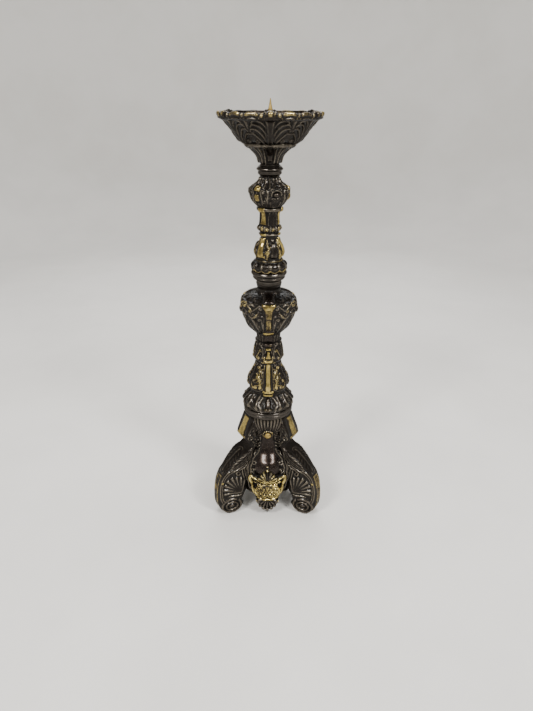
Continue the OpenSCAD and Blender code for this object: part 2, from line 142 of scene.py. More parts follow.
class Relief:
    """Ornament as heights over a surface.

    across is the place round the piece, in degrees from the middle of a face (or in mm on a flat plate), and
    k is the mm that one unit of it measures there; s is the place along the outline, in mm. Motifs are placed
    by (across, z). Each draws over what is lower, and says how much brass shows on it and how polished it is.
    """

    def __init__(self, across, s, k, s_of_z):
        self.across, self.s, self.k = across.ravel(), s.ravel(), k.ravel()
        self.shape, self.s_of_z = across.shape, s_of_z
        self.h = np.zeros(len(self.s))
        self.brass = np.zeros(len(self.s))
        self.polish = np.zeros(len(self.s))

    def put(self, at, h, brass=0.0, polish=0.0, over=0.0):
        """Draws heights h at the indices at, where they are above what is there."""
        top = h + over > self.h[at]
        at, h = at[top], (h + over)[top]
        self.h[at] = h
        self.brass[at] = brass
        self.polish[at] = polish

    def k_at(self, s):
        """mm per unit across at a place along the outline."""
        return float(np.median(self.k[np.abs(self.s - s) < 1.0]))

    def path(self, points):
        """Points (across, z) joined smoothly, as (across, s)."""
        return spline([(a, self.s_of_z(z)) for a, z in points], 6)

    def coil(self, centre, r_out, r_in, start, sweep):
        """A spiral round centre (across, z) from r_out at angle start, over sweep degrees, as (across, s)."""
        s0 = self.s_of_z(centre[1])
        k = self.k_at(s0)
        t = np.linspace(0, 1, max(6, int(abs(sweep) / 15)))
        a = np.radians(start + sweep * t)
        r = r_out + (r_in - r_out) * t**0.8
        return np.column_stack([centre[0] + r * np.cos(a) / k, s0 + r * np.sin(a)])

    def near(self, path, reach):
        """Indices of the points within reach of a path, their distance and side, and place along it (0-1)."""
        lo_s, hi_s = path[:, 1].min() - reach, path[:, 1].max() + reach
        inside = (self.s > lo_s) & (self.s < hi_s)
        inside &= (self.across - path[:, 0].min()) * self.k > -reach
        inside &= (self.across - path[:, 0].max()) * self.k < reach
        at = np.nonzero(inside)[0]
        k = self.k[at, None]
        dx = (self.across[at, None] - path[None, :-1, 0]) * k
        ds = self.s[at, None] - path[None, :-1, 1]
        bx = np.diff(path[:, 0])[None] * k
        bs = np.diff(path[:, 1])[None]
        u = np.clip((dx * bx + ds * bs) / np.maximum(bx**2 + bs**2, 1e-9), 0, 1)
        ex, es = dx - u * bx, ds - u * bs
        d2 = ex**2 + es**2
        j = np.argmin(d2, axis=1)
        row = np.arange(len(at))
        side = np.sign(bx[row, j] * es[row, j] - np.broadcast_to(bs, bx.shape)[row, j] * ex[row, j])
        return at, np.sqrt(d2[row, j]), side, (j + u[row, j]) / (len(path) - 1)

    def ridge(self, path, width, height, ends=(1.0, 1.0), form="round", **look):
        """A raised line along a path, round or a rimmed band, width mm across, scaled by ends at its ends."""
        at, d, _, t = self.near(path, width / 2)
        w = width / 2 * np.interp(t, [0, 0.25, 0.75, 1], [ends[0], 1, 1, ends[1]])
        u = d / np.maximum(w, 0.05)
        at, u, t = at[u < 1], u[u < 1], t[u < 1]
        if form == "round":
            h = np.sqrt(1 - u**2)
        else:
            h = np.minimum(1, (1 - u) * 5) * (0.62 + 0.38 * ease(u, 0.35, 0.75))
        self.put(at, height * h * np.interp(t, [0, 0.15, 0.85, 1], [0.8, 1, 1, 0.8]), **look)

    def strand(self, points, width, height, **look):
        """A raised line along points (across, z)."""
        self.ridge(self.path(points), width, height, **look)

    def bead(self, centre, radius, height, **look):
        """A round boss."""
        s0 = self.s_of_z(centre[1])
        d = np.hypot((self.across - centre[0]) * self.k, self.s - s0) / radius
        at = np.nonzero(d < 1)[0]
        self.put(at, height * np.sqrt(1 - d[at] ** 2), **look)

    def scroll(self, a, ra, b, rb, width, height, side=1, **look):
        """A C-scroll between the eyes a and b, curled to ra and rb; side is where its back is."""
        turn = 1.15 * 360
        sa, sb = self.s_of_z(a[1]), self.s_of_z(b[1])
        axis = math.degrees(math.atan2(sb - sa, (b[0] - a[0]) * self.k_at((sa + sb) / 2)))
        start = self.coil(a, ra, ra * 0.3, axis + 90 * side, side * turn)
        end = self.coil(b, rb, rb * 0.3, axis + 90 * side, -side * turn)
        path = spline(np.vstack([start[::-2][:-1] if len(start) % 2 == 0 else start[::-2], end[::2]]), 3)
        self.ridge(path, width, height, ends=(0.5, 0.5), **look)
        self.bead(a, ra * 0.36, height * 1.15, **look)
        self.bead(b, rb * 0.36, height * 1.15, **look)

    def leaf(self, points, width, height, lobes=5, sweep=0.20, base=0.45, **look):
        """An acanthus leaf along (across, z) points, width mm across, cut into lobes that sweep tipwards."""
        at, d, side, t = self.near(self.path(points), width / 2 * 1.02)
        body = np.interp(t, [0, 0.12, 0.4, 0.72, 0.9, 1], [base, 0.75, 1, 0.86, 0.55, 0.08])
        u = d / np.maximum(width / 2 * body, 0.05)
        f = (lobes * (t - sweep * np.minimum(u, 1.2) ** 1.2) + 0.15 * side) % 1.0
        cut = (1 - np.sin(np.pi * f)) ** 2.5
        u = u / (1 - 0.34 * cut)
        on = u < 1
        at, u, t, d, f, cut = at[on], u[on], t[on], d[on], f[on], cut[on]
        h = np.sqrt(1 - u**2) ** 0.6
        h *= 1 - 0.45 * cut * ease(u, 0.05, 0.6)
        h += 0.09 * u * np.cos(6 * np.pi * f) * (1 - cut)
        rib = width * 0.06 + 0.25
        h += 0.22 * np.exp(-((d / rib) ** 2)) - 0.26 * np.exp(-(((d - 1.9 * rib) / rib) ** 2)) * (1 - t)
        h *= 0.72 + 0.28 * np.sin(np.pi * np.clip(t, 0, 1))
        self.put(at, height * h, **look)

    def fan(self, centre, r0, r1, a0, a1, ribs, height, scallop=0.12, **look):
        """Ribs that spread from centre between the angles a0 and a1, like a shell or palmette."""
        s0 = self.s_of_z(centre[1])
        dx, ds = (self.across - centre[0]) * self.k, self.s - s0
        rho = np.hypot(dx, ds)
        turn = (np.degrees(np.arctan2(ds, dx)) - a0) % 360
        f = turn / (a1 - a0) * ribs
        rib = np.abs(np.sin(np.pi * f))
        edge = r1 * (1 - scallop + scallop * rib)
        at = np.nonzero((rho > r0) & (rho < edge) & (turn <= a1 - a0))[0]
        q = (rho[at] - r0) / (edge[at] - r0)
        h = (0.3 + 0.7 * rib[at] ** 0.7) * (0.45 + 0.55 * q) * np.minimum(1, (1 - q) * 6)
        self.put(at, height * h, **look)

    def ring(self, z0, z1, height, form="round", **look):
        """A moulding all round, round or flat with steep edges."""
        s0, s1 = self.s_of_z(z0), self.s_of_z(z1)
        u = np.abs(self.s - (s0 + s1) / 2) / (abs(s1 - s0) / 2)
        at = np.nonzero(u < 1)[0]
        h = np.sqrt(1 - u[at] ** 2) if form == "round" else np.minimum(1, (1 - u[at]) * 5)
        self.put(at, height * h, **look)

    def panel(self, keys, height, rim=0.0, rim_w=1.0, centre=0.0, soft=0.8, dome=0.0, **look):
        """A plain raised panel through (z, half width in mm) keys. dome rounds it over."""
        k = np.array(sorted((self.s_of_z(z), w) for z, w in keys))
        at = np.nonzero((self.s >= k[0, 0]) & (self.s <= k[-1, 0]))[0]
        w = np.interp(self.s[at], k[:, 0], k[:, 1])
        x = np.abs((self.across[at] - centre) * self.k[at])
        d = np.minimum(w - x, np.minimum(self.s[at] - k[0, 0], k[-1, 0] - self.s[at]))
        on = d > 0
        at, d, x, w = at[on], d[on], x[on], w[on]
        h = height * np.minimum(1, d / soft)
        h += dome * np.sqrt(np.clip(1 - (x / w) ** 2, 0, 1)) * np.minimum(1, d / 3)
        h += rim * np.exp(-(((d - soft - rim_w / 2) / (rim_w / 2)) ** 2))
        self.put(at, h, **look)

    def rocaille(self, z0, z1, a0, a1, count, size, height, seed=1, **look):
        """Small chased curls and leaf ends, scattered over the ground between two heights and two angles."""
        rng = np.random.default_rng(seed)
        s0, s1 = self.s_of_z(z0), self.s_of_z(z1)
        for i in range(count):
            s, a = s0 + (s1 - s0) * ((i + rng.uniform(0.1, 0.9)) / count), rng.uniform(a0, a1)
            k, way, hand = self.k_at(s), rng.uniform(30, 150), rng.choice([-1, 1])
            r = size * rng.uniform(0.55, 1.0)
            arc = np.radians(way + hand * np.linspace(0, rng.uniform(150, 260), 7))
            rad = r * np.linspace(1.0, 0.45, 7)
            path = np.column_stack([a + rad * np.cos(arc) / k, s + rad * np.sin(arc)])
            self.ridge(spline(path, 2), size * 0.75, height * rng.uniform(0.6, 1.0), ends=(0.25, 1.0), **look)

    def scales(self, keys, size, height, centre=0.0, **look):
        """Overlapping fish scales over a panel."""
        k = np.array(sorted((self.s_of_z(z), w) for z, w in keys))
        at = np.nonzero((self.s >= k[0, 0]) & (self.s <= k[-1, 0]))[0]
        x = (self.across[at] - centre) * self.k[at]
        on = np.abs(x) < np.interp(self.s[at], k[:, 0], k[:, 1])
        at, x = at[on], x[on]
        best = np.zeros(len(at))
        for shift in (0, 1):
            row = np.floor(self.s[at] / size * 0.5 + shift * 0.5)
            cy = (row + 0.75 - shift * 0.5) * 2 * size
            cx = (np.floor(x / (2 * size) + shift / 2) + (1 - shift) / 2) * 2 * size
            rho = np.hypot(x - cx, self.s[at] - cy) / size
            best = np.maximum(best, np.where(rho < 1, 0.45 + 0.55 * rho**2, 0))
        self.put(at, height * best, **look)

    def stipple(self, size, depth, seed=1):
        """Punched ground: a fine uneven texture, only where nothing stands on it."""
        rng = np.random.default_rng(seed)
        p = rng.uniform(0, 2 * np.pi, 4)
        x, s = self.across * self.k, self.s
        t = (np.sin(x / size + p[0] + 1.3 * np.sin(s / size * 0.7 + p[1]))
             * np.sin(s / size * 1.1 + p[2] + 1.2 * np.sin(x / size * 0.8 + p[3])))
        self.h += depth * t * (self.h < 0.35)

    def grids(self):
        """Height, brass, polish and stand grids. stand is over 0.5 where the relief is above what is near."""
        h = blur(self.h.reshape(self.shape), 1)
        polish = self.polish.reshape(self.shape)
        above = h - blur(h, 4)
        brass = blur(self.brass.reshape(self.shape), 1)
        brass = brass * (0.45 + 0.55 * ease(above, -0.35, 0.05)) + 0.12 * ease(above, 0.05, 0.5)
        return h, np.clip(brass, 0, 1), polish, np.clip(0.5 + above, 0, 1)


# ---------------------------------------------------------------- meshes

def mesh_object(node, verts, quads, caps, attributes, slot="bronze", material=None):
    """The casting that replaces a CAD node: vertices in mm, with per-vertex values for its material."""
    mesh = bpy.data.meshes.new(node + "_cast")
    verts = np.asarray(verts, np.float32) * MM
    mesh.vertices.add(len(verts))
    mesh.vertices.foreach_set("co", verts.ravel())
    loops = [quads.ravel()] + caps
    sizes = [4] * len(quads) + [len(cap) for cap in caps]
    mesh.loops.add(sum(sizes))
    mesh.loops.foreach_set("vertex_index", np.concatenate(loops).astype(np.int32))
    mesh.polygons.add(len(sizes))
    mesh.polygons.foreach_set("loop_start", (np.cumsum(sizes) - sizes).astype(np.int32))
    mesh.polygons.foreach_set("use_smooth", np.ones(len(sizes), bool))
    mesh.update(calc_edges=True)
    mesh.validate()
    for key, values in attributes.items():
        layer = mesh.attributes.new(key, "FLOAT", "POINT")
        layer.data.foreach_set("value", np.asarray(values, np.float32).ravel())
    piece = bpy.data.objects.new(node + "_cast", mesh)
    bpy.context.scene.collection.objects.link(piece)
    mesh.materials.append(material or bronze_mat)
    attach(piece, "root")
    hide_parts(node)


def grid_quads(rows, cols, closed):
    """Faces of a grid whose rows are closed loops, and whose last row joins the first if closed."""
    i, j = np.meshgrid(np.arange(rows if closed else rows - 1), np.arange(cols), indexing="ij")
    below, above = i * cols, (i + 1) % rows * cols
    return np.stack([below + j, below + (j + 1) % cols, above + (j + 1) % cols, above + j], -1).reshape(-1, 4)


def end_caps(rows, cols):
    """The two end faces of such a grid when it is open."""
    return [np.arange(cols)[::-1], (rows - 1) * cols + np.arange(cols)]


def unfold(grid):
    """A 60-degree grid mirrored and repeated all round."""
    n = grid.shape[1] - 1
    j = np.arange(6 * n) % (2 * n)
    return grid[:, np.where(j <= n, j, 2 * n - j)]


def unevenness(rows, cols, seed):
    """Slow variation of a hand-chased casting, from -1 to 1, without a seam."""
    rng = np.random.default_rng(seed)
    v = np.linspace(0, 1, rows)[:, None]
    a = np.linspace(0, 2 * np.pi, cols, endpoint=False)[None]
    total = np.zeros((rows, cols))
    for _ in range(9):
        n, m, p, q = rng.integers(1, 9), rng.uniform(0.5, 4), *rng.uniform(0, 2 * np.pi, 2)
        total += np.sin(n * a + p + 1.5 * np.sin(m * np.pi * v + q)) / 4
    return np.clip(total, -1, 1)


def round_relief(line, cols, draw):
    """The grids of ornament that draw(relief) puts on a sixth of an outline's turn, repeated all round."""
    across = np.broadcast_to(np.linspace(0, SIXTH, cols // 6 + 1)[None], (len(line), cols // 6 + 1))
    s = arc_length(line)
    k = np.broadcast_to(np.radians(line[:, :1]), across.shape)
    relief = Relief(across, np.broadcast_to(s[:, None], across.shape), k,
                    lambda z: float(np.interp(z, line[:, 1], s)))
    draw(relief)
    return [unfold(grid) for grid in relief.grids()]


def raised(line, h):
    """Radii and heights of an outline with ornament h mm high on it."""
    normal = normals(line)
    return line[:, :1] + normal[:, :1] * h, line[:, 1:] + normal[:, 1:] * h


def revolve(node, r, z, turn, values, **looks):
    """A casting of revolution from rows of radius and height in mm, the first column at the angle turn."""
    a = np.radians(turn + np.arange(r.shape[1]) * 360 / r.shape[1])[None]
    verts = np.stack([r * np.cos(a), r * np.sin(a), z], -1).reshape(-1, 3)
    mesh_object(node, verts, grid_quads(*r.shape, closed=True), [], values, **looks)


def casting(node, line, draw, cols, z0, sink=((0, 0.0),), turn=-90.0, inner=None, seed=0, slow=0.12,
            bold=1.25, **looks):
    """A casting of revolution: an outline in mm, sunk under its ornament, which draw(relief) adds to it.

    sink is (height, depth). turn is where the first face points. inner is the rest of the section, from the
    outline's top back to its underside. slow is how uneven the ornament is and bold how much it is raised.
    """
    h, brass, polish, stand = round_relief(line, cols, draw)
    # The outline's own mouldings are rubbed too, where they bulge, which also gives them painted sheen; its
    # coves get painted shade
    bulge = line[:, :1] - blur(line[:, :1], max(3, len(line) // 40))
    stand = np.clip(stand + 0.35 * bulge, 0, 1)
    depth = np.interp(line[:, 1], *zip(*sink))[:, None]
    h = bold * h * (1 + slow * unevenness(len(line), cols, seed)) - depth * bold
    r, z = raised(line, h)
    section = inner or [(ROD_HOLE, line[-1, 1]), (ROD_HOLE, line[0, 1])]
    pad = lambda g, fill: np.vstack([g] + [np.full((1, cols), v) for v in fill])
    values = {"brass": pad(brass, [0] * len(section)), "polish": pad(polish, [0] * len(section)),
              "stand": pad(stand, [0.4] * len(section))}
    revolve(node, pad(r, [p[0] for p in section]), pad(z, [p[1] for p in section]) + z0, turn, values,
            **looks)


def turned(node, keys, rows, lines, cols=144):
    """A lathe-turned collar. lines are the heights of fine raised lines round it."""
    half_width, height = 0.35, 0.25

    def draw(relief):
        for z in lines:
            relief.ring(z - half_width, z + half_width, height)

    casting(node, outline(keys, rows), draw, cols, low(node), turn=0.0, slow=0.0, bold=1.0,
            slot="turned_bronze", material=turned_mat)


# ---------------------------------------------------------------- materials

class Nodes:
    """Short calls for building a node material."""

    def __init__(self, name):
        self.material = bpy.data.materials.new(name)
        self.material.use_nodes = True
        self.tree = self.material.node_tree
        self.shader = self.tree.nodes["Principled BSDF"]
        self.place = self.add("ShaderNodeTexCoord").outputs["Object"]

    def add(self, kind, inputs=None, **settings):
        n = self.tree.nodes.new(kind)
        for key, value in settings.items():
            setattr(n, key, value)
        for key, value in (inputs or {}).items():
            if isinstance(value, bpy.types.NodeSocket):
                self.tree.links.new(value, n.inputs[key])
            else:
                n.inputs[key].default_value = value
        return n

    def noise(self, scale, detail, warp=0.0):
        return self.add("ShaderNodeTexNoise", {"Vector": self.place, "Scale": scale, "Detail": detail,
                                               "Roughness": 0.6, "Distortion": warp}).outputs["Fac"]

    def cells(self, scale):
        return self.add("ShaderNodeTexVoronoi", {"Vector": self.place, "Scale": scale}).outputs["Distance"]

    def value(self, name):
        return self.add("ShaderNodeAttribute", attribute_name=name).outputs["Fac"]

    def math(self, kind, a, b=0.0, c=0.0, clamp=False):
        n = self.add("ShaderNodeMath", operation=kind, use_clamp=clamp)
        for socket, value in zip(n.inputs, (a, b, c)):
            if isinstance(value, bpy.types.NodeSocket):
                self.tree.links.new(value, socket)
            else:
                socket.default_value = value
        return n.outputs[0]

    def span(self, x, a, b, lo=0.0, hi=1.0):
        """x from a to b becomes lo to hi, smoothly and no further."""
        return self.add("ShaderNodeMapRange", {"Value": x, "From Min": a, "From Max": b, "To Min": lo,
                                               "To Max": hi}, interpolation_type="SMOOTHSTEP").outputs[0]

    def mix(self, fac, a, b):
        n = self.add("ShaderNodeMix", data_type="RGBA")
        for i, value in ((0, fac), (6, a), (7, b)):
            if isinstance(value, bpy.types.NodeSocket):
                self.tree.links.new(value, n.inputs[i])
            else:
                n.inputs[i].default_value = value if i == 0 else (*value, 1.0)
        return n.outputs[2]

    def finish(self, colour, metallic, roughness, height, distance, **fixed):
        bump = self.add("ShaderNodeBump", {"Height": height, "Distance": distance, "Strength": 0.8})
        for key, socket in (("Base Color", colour), ("Metallic", metallic), ("Roughness", roughness),
                            ("Normal", bump.outputs[0])):
            if isinstance(socket, bpy.types.NodeSocket):
                self.tree.links.new(socket, self.shader.inputs[key])
            else:
                self.shader.inputs[key].default_value = socket
        for key, value in fixed.items():
            self.shader.inputs[key].default_value = value
        return self.material


def patinated(name, dark=(0.009, 0.007, 0.0055), worn_and_sheen=(0.155, 0.135, 0.105), red=(0.024, 0.017, 0.014),
              gold=(0.50, 0.385, 0.125), gold_deep=(0.115, 0.082, 0.026), wear=0.0, grime_and_shade=0.9, gloss=0.0):
    """Dark waxed patina over bronze, rubbed through to brass, lighter on crests as wear and painted sheen,
    near black in hollows as dirt and painted shade. Reads the relief's brass, polish and stand.
    """
    m = Nodes(name)
    brass, polish, stand = m.value("brass"), m.value("polish"), m.value("stand")
    slow, cloud, grain, speck = m.noise(22, 2), m.noise(110, 4, warp=0.4), m.noise(520, 4), m.noise(2300, 2)
    pits = m.cells(900)
    blotch = m.math("MULTIPLY_ADD", cloud, 0.55, m.math("MULTIPLY", slow, 0.45))
    # How far the patina is rubbed through, broken up by the casting's own grain
    broken = m.math("MULTIPLY_ADD", grain, 0.5, m.math("MULTIPLY", blotch, 0.5))
    rub = m.math("ADD", m.math("MULTIPLY_ADD", brass, 1.0, wear), m.math("MULTIPLY_ADD", broken, 1.3, -0.65))
    through = m.span(rub, 0.30, 0.80)
    hollow = m.span(stand, 0.14, 0.49, 1.0, 0.0)
    crest_wear_and_sheen = m.span(stand, 0.56, 0.96)
    ground = m.mix(m.span(blotch, 0.36, 0.66), dark, tuple(c * 1.8 for c in dark))
    # Crests lighter: rubbed wear, and painted sheen where light would catch them
    ground = m.mix(m.math("MULTIPLY", crest_wear_and_sheen, m.span(grain, 0.30, 0.65, 0.35, 0.9)), ground, worn_and_sheen)
    ground = m.mix(m.math("MULTIPLY", polish, m.span(blotch, 0.30, 0.60, 0.45, 0.9)), ground, red)
    metal = m.mix(m.span(blotch, 0.40, 0.60), gold_deep, gold)
    metal = m.mix(m.span(speck, 0.56, 0.70, 0.0, 0.55), metal, gold_deep)
    colour = m.mix(through, ground, metal)
    # Hollows darkened to near black: wax and dirt in them, and painted shade
    colour = m.mix(m.math("MULTIPLY", hollow, grime_and_shade), colour, (0.005, 0.0045, 0.004))
    rough = m.math("MULTIPLY_ADD", grain, 0.20, m.span(through, 0.0, 1.0, 0.20 - gloss, 0.14 - gloss / 2))
    rough = m.math("ADD", rough, m.math("MULTIPLY", hollow, 0.30))
    rough = m.math("SUBTRACT", rough, m.math("MULTIPLY", polish, 0.03), clamp=True)
    metallic = m.math("SUBTRACT", 0.92, m.math("MULTIPLY", hollow, 0.6))
    height = m.math("ADD", m.math("MULTIPLY", grain, 0.8), m.math("MULTIPLY", speck, 0.35))
    height = m.math("SUBTRACT", height, m.span(pits, 0.0, 0.22, 0.25, 0.0))
    height = m.math("MULTIPLY", height, m.span(polish, 0.0, 1.0, 1.0, 0.30))
    return m.finish(colour, metallic, rough, height, 0.00016,
                    **{"Coat Weight": 0.22, "Coat Roughness": 0.14, "Coat IOR": 1.5,
                       "Specular Tint": (0.30, 0.28, 0.25, 1.0)})


def lathe_metal(name, base, deep, rough=0.28, stretch=1.0, tarnish=0.5):
    """Turned metal: fine lathe lines round Z, tarnish in patches, and small scratches."""
    m = Nodes(name)
    rings = m.add("ShaderNodeTexWave", {"Vector": m.place, "Scale": 260.0 * stretch, "Distortion": 1.2,
                                        "Detail": 2.0,
                                        "Detail Scale": 2.0}, wave_type="BANDS",
                                        bands_direction="Z").outputs["Fac"]
    slow, cloud, grain = m.noise(45, 3), m.noise(240, 4, warp=0.5), m.noise(1500, 3)
    patch = m.span(m.math("MULTIPLY_ADD", slow, 0.5, m.math("MULTIPLY", cloud, 0.5)), 0.38, 0.62)
    colour = m.mix(m.math("MULTIPLY", patch, tarnish), base, deep)
    colour = m.mix(m.span(grain, 0.58, 0.72, 0.0, 0.4), colour, deep)
    roughness = m.math("MULTIPLY_ADD", patch, 0.16, m.math("MULTIPLY_ADD", grain, 0.12, rough - 0.08))
    height = m.math("MULTIPLY_ADD", rings, 0.5, m.math("MULTIPLY", grain, 0.5))
    return m.finish(colour, 1.0, roughness, height, 0.00008)


bronze_mat = patinated("cast_bronze")
turned_mat = patinated("turned_bronze", dark=(0.038, 0.033, 0.028), worn_and_sheen=(0.24, 0.21, 0.175),
                       grime_and_shade=0.7, gloss=0.11)
gilt_mat = patinated("worn_gilding", wear=0.03, gold=(0.60, 0.48, 0.17), gold_deep=(0.15, 0.11, 0.035))
brass_mat = lathe_metal("turned_brass", (0.47, 0.345, 0.11), (0.15, 0.10, 0.034), tarnish=0.75)
iron_mat = lathe_metal("rod_iron", (0.22, 0.21, 0.20), (0.09, 0.06, 0.04), rough=0.45, stretch=3.0,
                       tarnish=0.8)


# ---------------------------------------------------------------- camera, floor and light

AIM_DOWN, ROLL = math.radians(25.8), math.radians(0.37)
cam_data = bpy.data.cameras.new("camera")
cam_data.lens = 27.04
camera = bpy.data.objects.new("camera", cam_data)
camera.location = (-0.0027, -0.709, 0.6007)
camera.rotation_mode = "QUATERNION"
camera.rotation_quaternion = (Vector((0, math.cos(AIM_DOWN), -math.sin(AIM_DOWN))).to_track_quat("-Z", "Y")
                              @ Quaternion((0, 0, 1), ROLL))
bpy.context.scene.collection.objects.link(camera)
bpy.context.scene.camera = camera


def floor():
    """A pale round floor that curves up into a wall all round."""
    sides, middle, flat, bend, top = 96, 0.4, 1.7, 0.9, 3.4
    profile = [(middle, 0.0), (flat, 0.0)]
    angles = np.linspace(0.05, math.pi / 2, 24)
    profile += [(flat + bend * math.sin(a), bend - bend * math.cos(a)) for a in angles]
    profile += [(flat + bend, top)]
    mesh = bpy.data.meshes.new("floor")
    turns = [2 * math.pi * i / sides for i in range(sides)]
    verts = [(r * math.cos(t), r * math.sin(t), z) for r, z in profile for t in turns]
    walls = grid_quads(len(profile), sides, closed=False)[:, [0, 3, 2, 1]]
    mesh.from_pydata(verts, [], [list(range(sides))] + walls.tolist())
    for face in mesh.polygons:
        face.use_smooth = True
    piece = bpy.data.objects.new("floor", mesh)
    bpy.context.scene.collection.objects.link(piece)
    m = Nodes("pale_floor")
    tone = m.mix(m.span(m.noise(3, 3), 0.35, 0.65), (0.62, 0.61, 0.59), (0.66, 0.65, 0.63))
    mesh.materials.append(m.finish(tone, 0.0, 0.75, m.noise(300, 3), 0.0003))


def softbox(name, at, size, power, colour):
    """A soft rectangular light at a place, aimed at the middle of the candlestick."""
    data = bpy.data.lights.new(name, "AREA")
    data.shape, data.size, data.size_y = "RECTANGLE", *size
    data.energy, data.color = power, colour
    light = bpy.data.objects.new(name, data)
    light.location = at
    light.rotation_euler = (Vector((0, 0, 0.3)) - Vector(at)).to_track_quat("-Z", "Y").to_euler()
    bpy.context.scene.collection.objects.link(light)


floor()
WHITE, WARM, WARMER = (1.0, 1.0, 1.0), (1.0, 0.98, 0.95), (1.0, 0.97, 0.92)
for name, at, size, power, colour in (
    ("key_left", (-1.0, -1.1, 1.75), (0.40, 0.40), 32, WARMER),
    ("key_right", (1.1, -1.0, 1.75), (0.40, 0.40), 36, WARM),
    ("front_left", (-0.85, -1.4, 1.95), (0.55, 0.16), 13, WHITE),
    ("front_right", (0.85, -1.4, 1.95), (0.55, 0.16), 13, WHITE),
    ("top", (0.0, 0.25, 2.1), (1.0, 0.4), 26, WARM),
    ("back", (0.0, 1.5, 1.3), (1.6, 0.5), 16, WHITE),
):
    softbox(name, at, size, power, colour)
world = bpy.data.worlds.new("studio")
world.use_nodes = True
sky = world.node_tree.nodes["Background"].inputs
sky["Color"].default_value = (0.80, 0.82, 0.85, 1)
sky["Strength"].default_value = 0.16
bpy.context.scene.world = world


# ---------------------------------------------------------------- the stem, from the bottom

LOWER_COLLAR = [(34.5, 0), (37, 2.6), (36, 6), (35.4, 6.6), (37.5, 8.6), (36.6, 11.2), (34, 13),
                (34.2, 15.4), (36.5, 17)]
LOWER_BALUSTER = [(36.6, 0), (38.6, 2), (37.6, 5), (33.4, 10.6), (28.8, 15.6), (26.4, 19.6), (28.4, 26.4),
                  (30.7, 32), (30, 36.5), (27, 45), (22, 55), (19.2, 62), (19, 66), (20.6, 72), (22, 77.5),
                  (20.6, 83), (19.6, 88), (18.3, 95.5), (19.2, 99), (17.2, 102)]
VASE = [(16.4, 0), (16.2, 4), (18.8, 13), (24.2, 19.5), (30.8, 27), (34.6, 34), (36.8, 41), (38.6, 44.5),
        (40, 47), (38.6, 51), (38.2, 58), (37, 62.5), (33.2, 66.4), (25, 70.5), (18, 73.2), (16.7, 77),
        (17.6, 81.5), (18.2, 85)]
MIDDLE_COLLAR = [(17.9, 0), (17.3, 3), (17.7, 4.8), (21.2, 6.6), (22.3, 8.4), (21.6, 10.2), (21.5, 11),
                 (24, 12.8), (24.7, 14.8), (23.8, 16.6), (22.4, 18)]
UPPER_BALUSTER = [(22, 0), (24.2, 2.6), (24.4, 7.6), (22.4, 11.6), (18.4, 14.8), (18, 20), (19.2, 25.6),
                  (17.2, 33.5), (14, 39.5), (12.7, 45), (13.8, 49.6), (12.9, 52.4), (15.2, 57), (13.6, 61.6),
                  (12.2, 68), (11.9, 75), (12.8, 78.4), (16.2, 80.6), (16.3, 83), (15.2, 84)]
KNOP = [(15.2, 0), (17.2, 3.2), (21.8, 8.2), (24.8, 13.6), (25.8, 19), (25, 24.4), (20.4, 27.6), (16, 30),
        (13.6, 33), (12.8, 38)]
UPPER_COLLAR = [(12.8, 0), (13.6, 1.4), (15.4, 3.8), (14.9, 6), (17.2, 8.8), (15.4, 11.2), (13.2, 13),
                (11.8, 15)]
CUP = [(11.8, 0), (14.1, 2.8), (14.4, 5), (16.4, 9.6), (20.4, 14.4), (25, 18), (29.4, 21.2), (30.6, 23.4),
       (29.6, 25)]
PAN = [(29.6, 0), (36.4, 1.6), (42, 5), (49, 13.8), (55, 20.8), (59, 25), (63.3, 28), (63.5, 32), (61, 35)]
SHELL = [(43.4, 32), (46.2, 40.4), (47, 54.7), (47.6, 66), (48.4, 75), (47, 84), (43, 92.5), (37.4, 100),
         (32.2, 107), (28.6, 115), (26.6, 124), (27.4, 132), (31, 140), (33.2, 150), (34, 158), (33.4, 164),
         (32, 167)]

turned("lower_collar", LOWER_COLLAR, 60, (6.3, 12.6), cols=192)
turned("middle_collar", MIDDLE_COLLAR, 70, (6.2, 11.6))
turned("upper_collar", UPPER_COLLAR, 54, (5.6, 12.0))


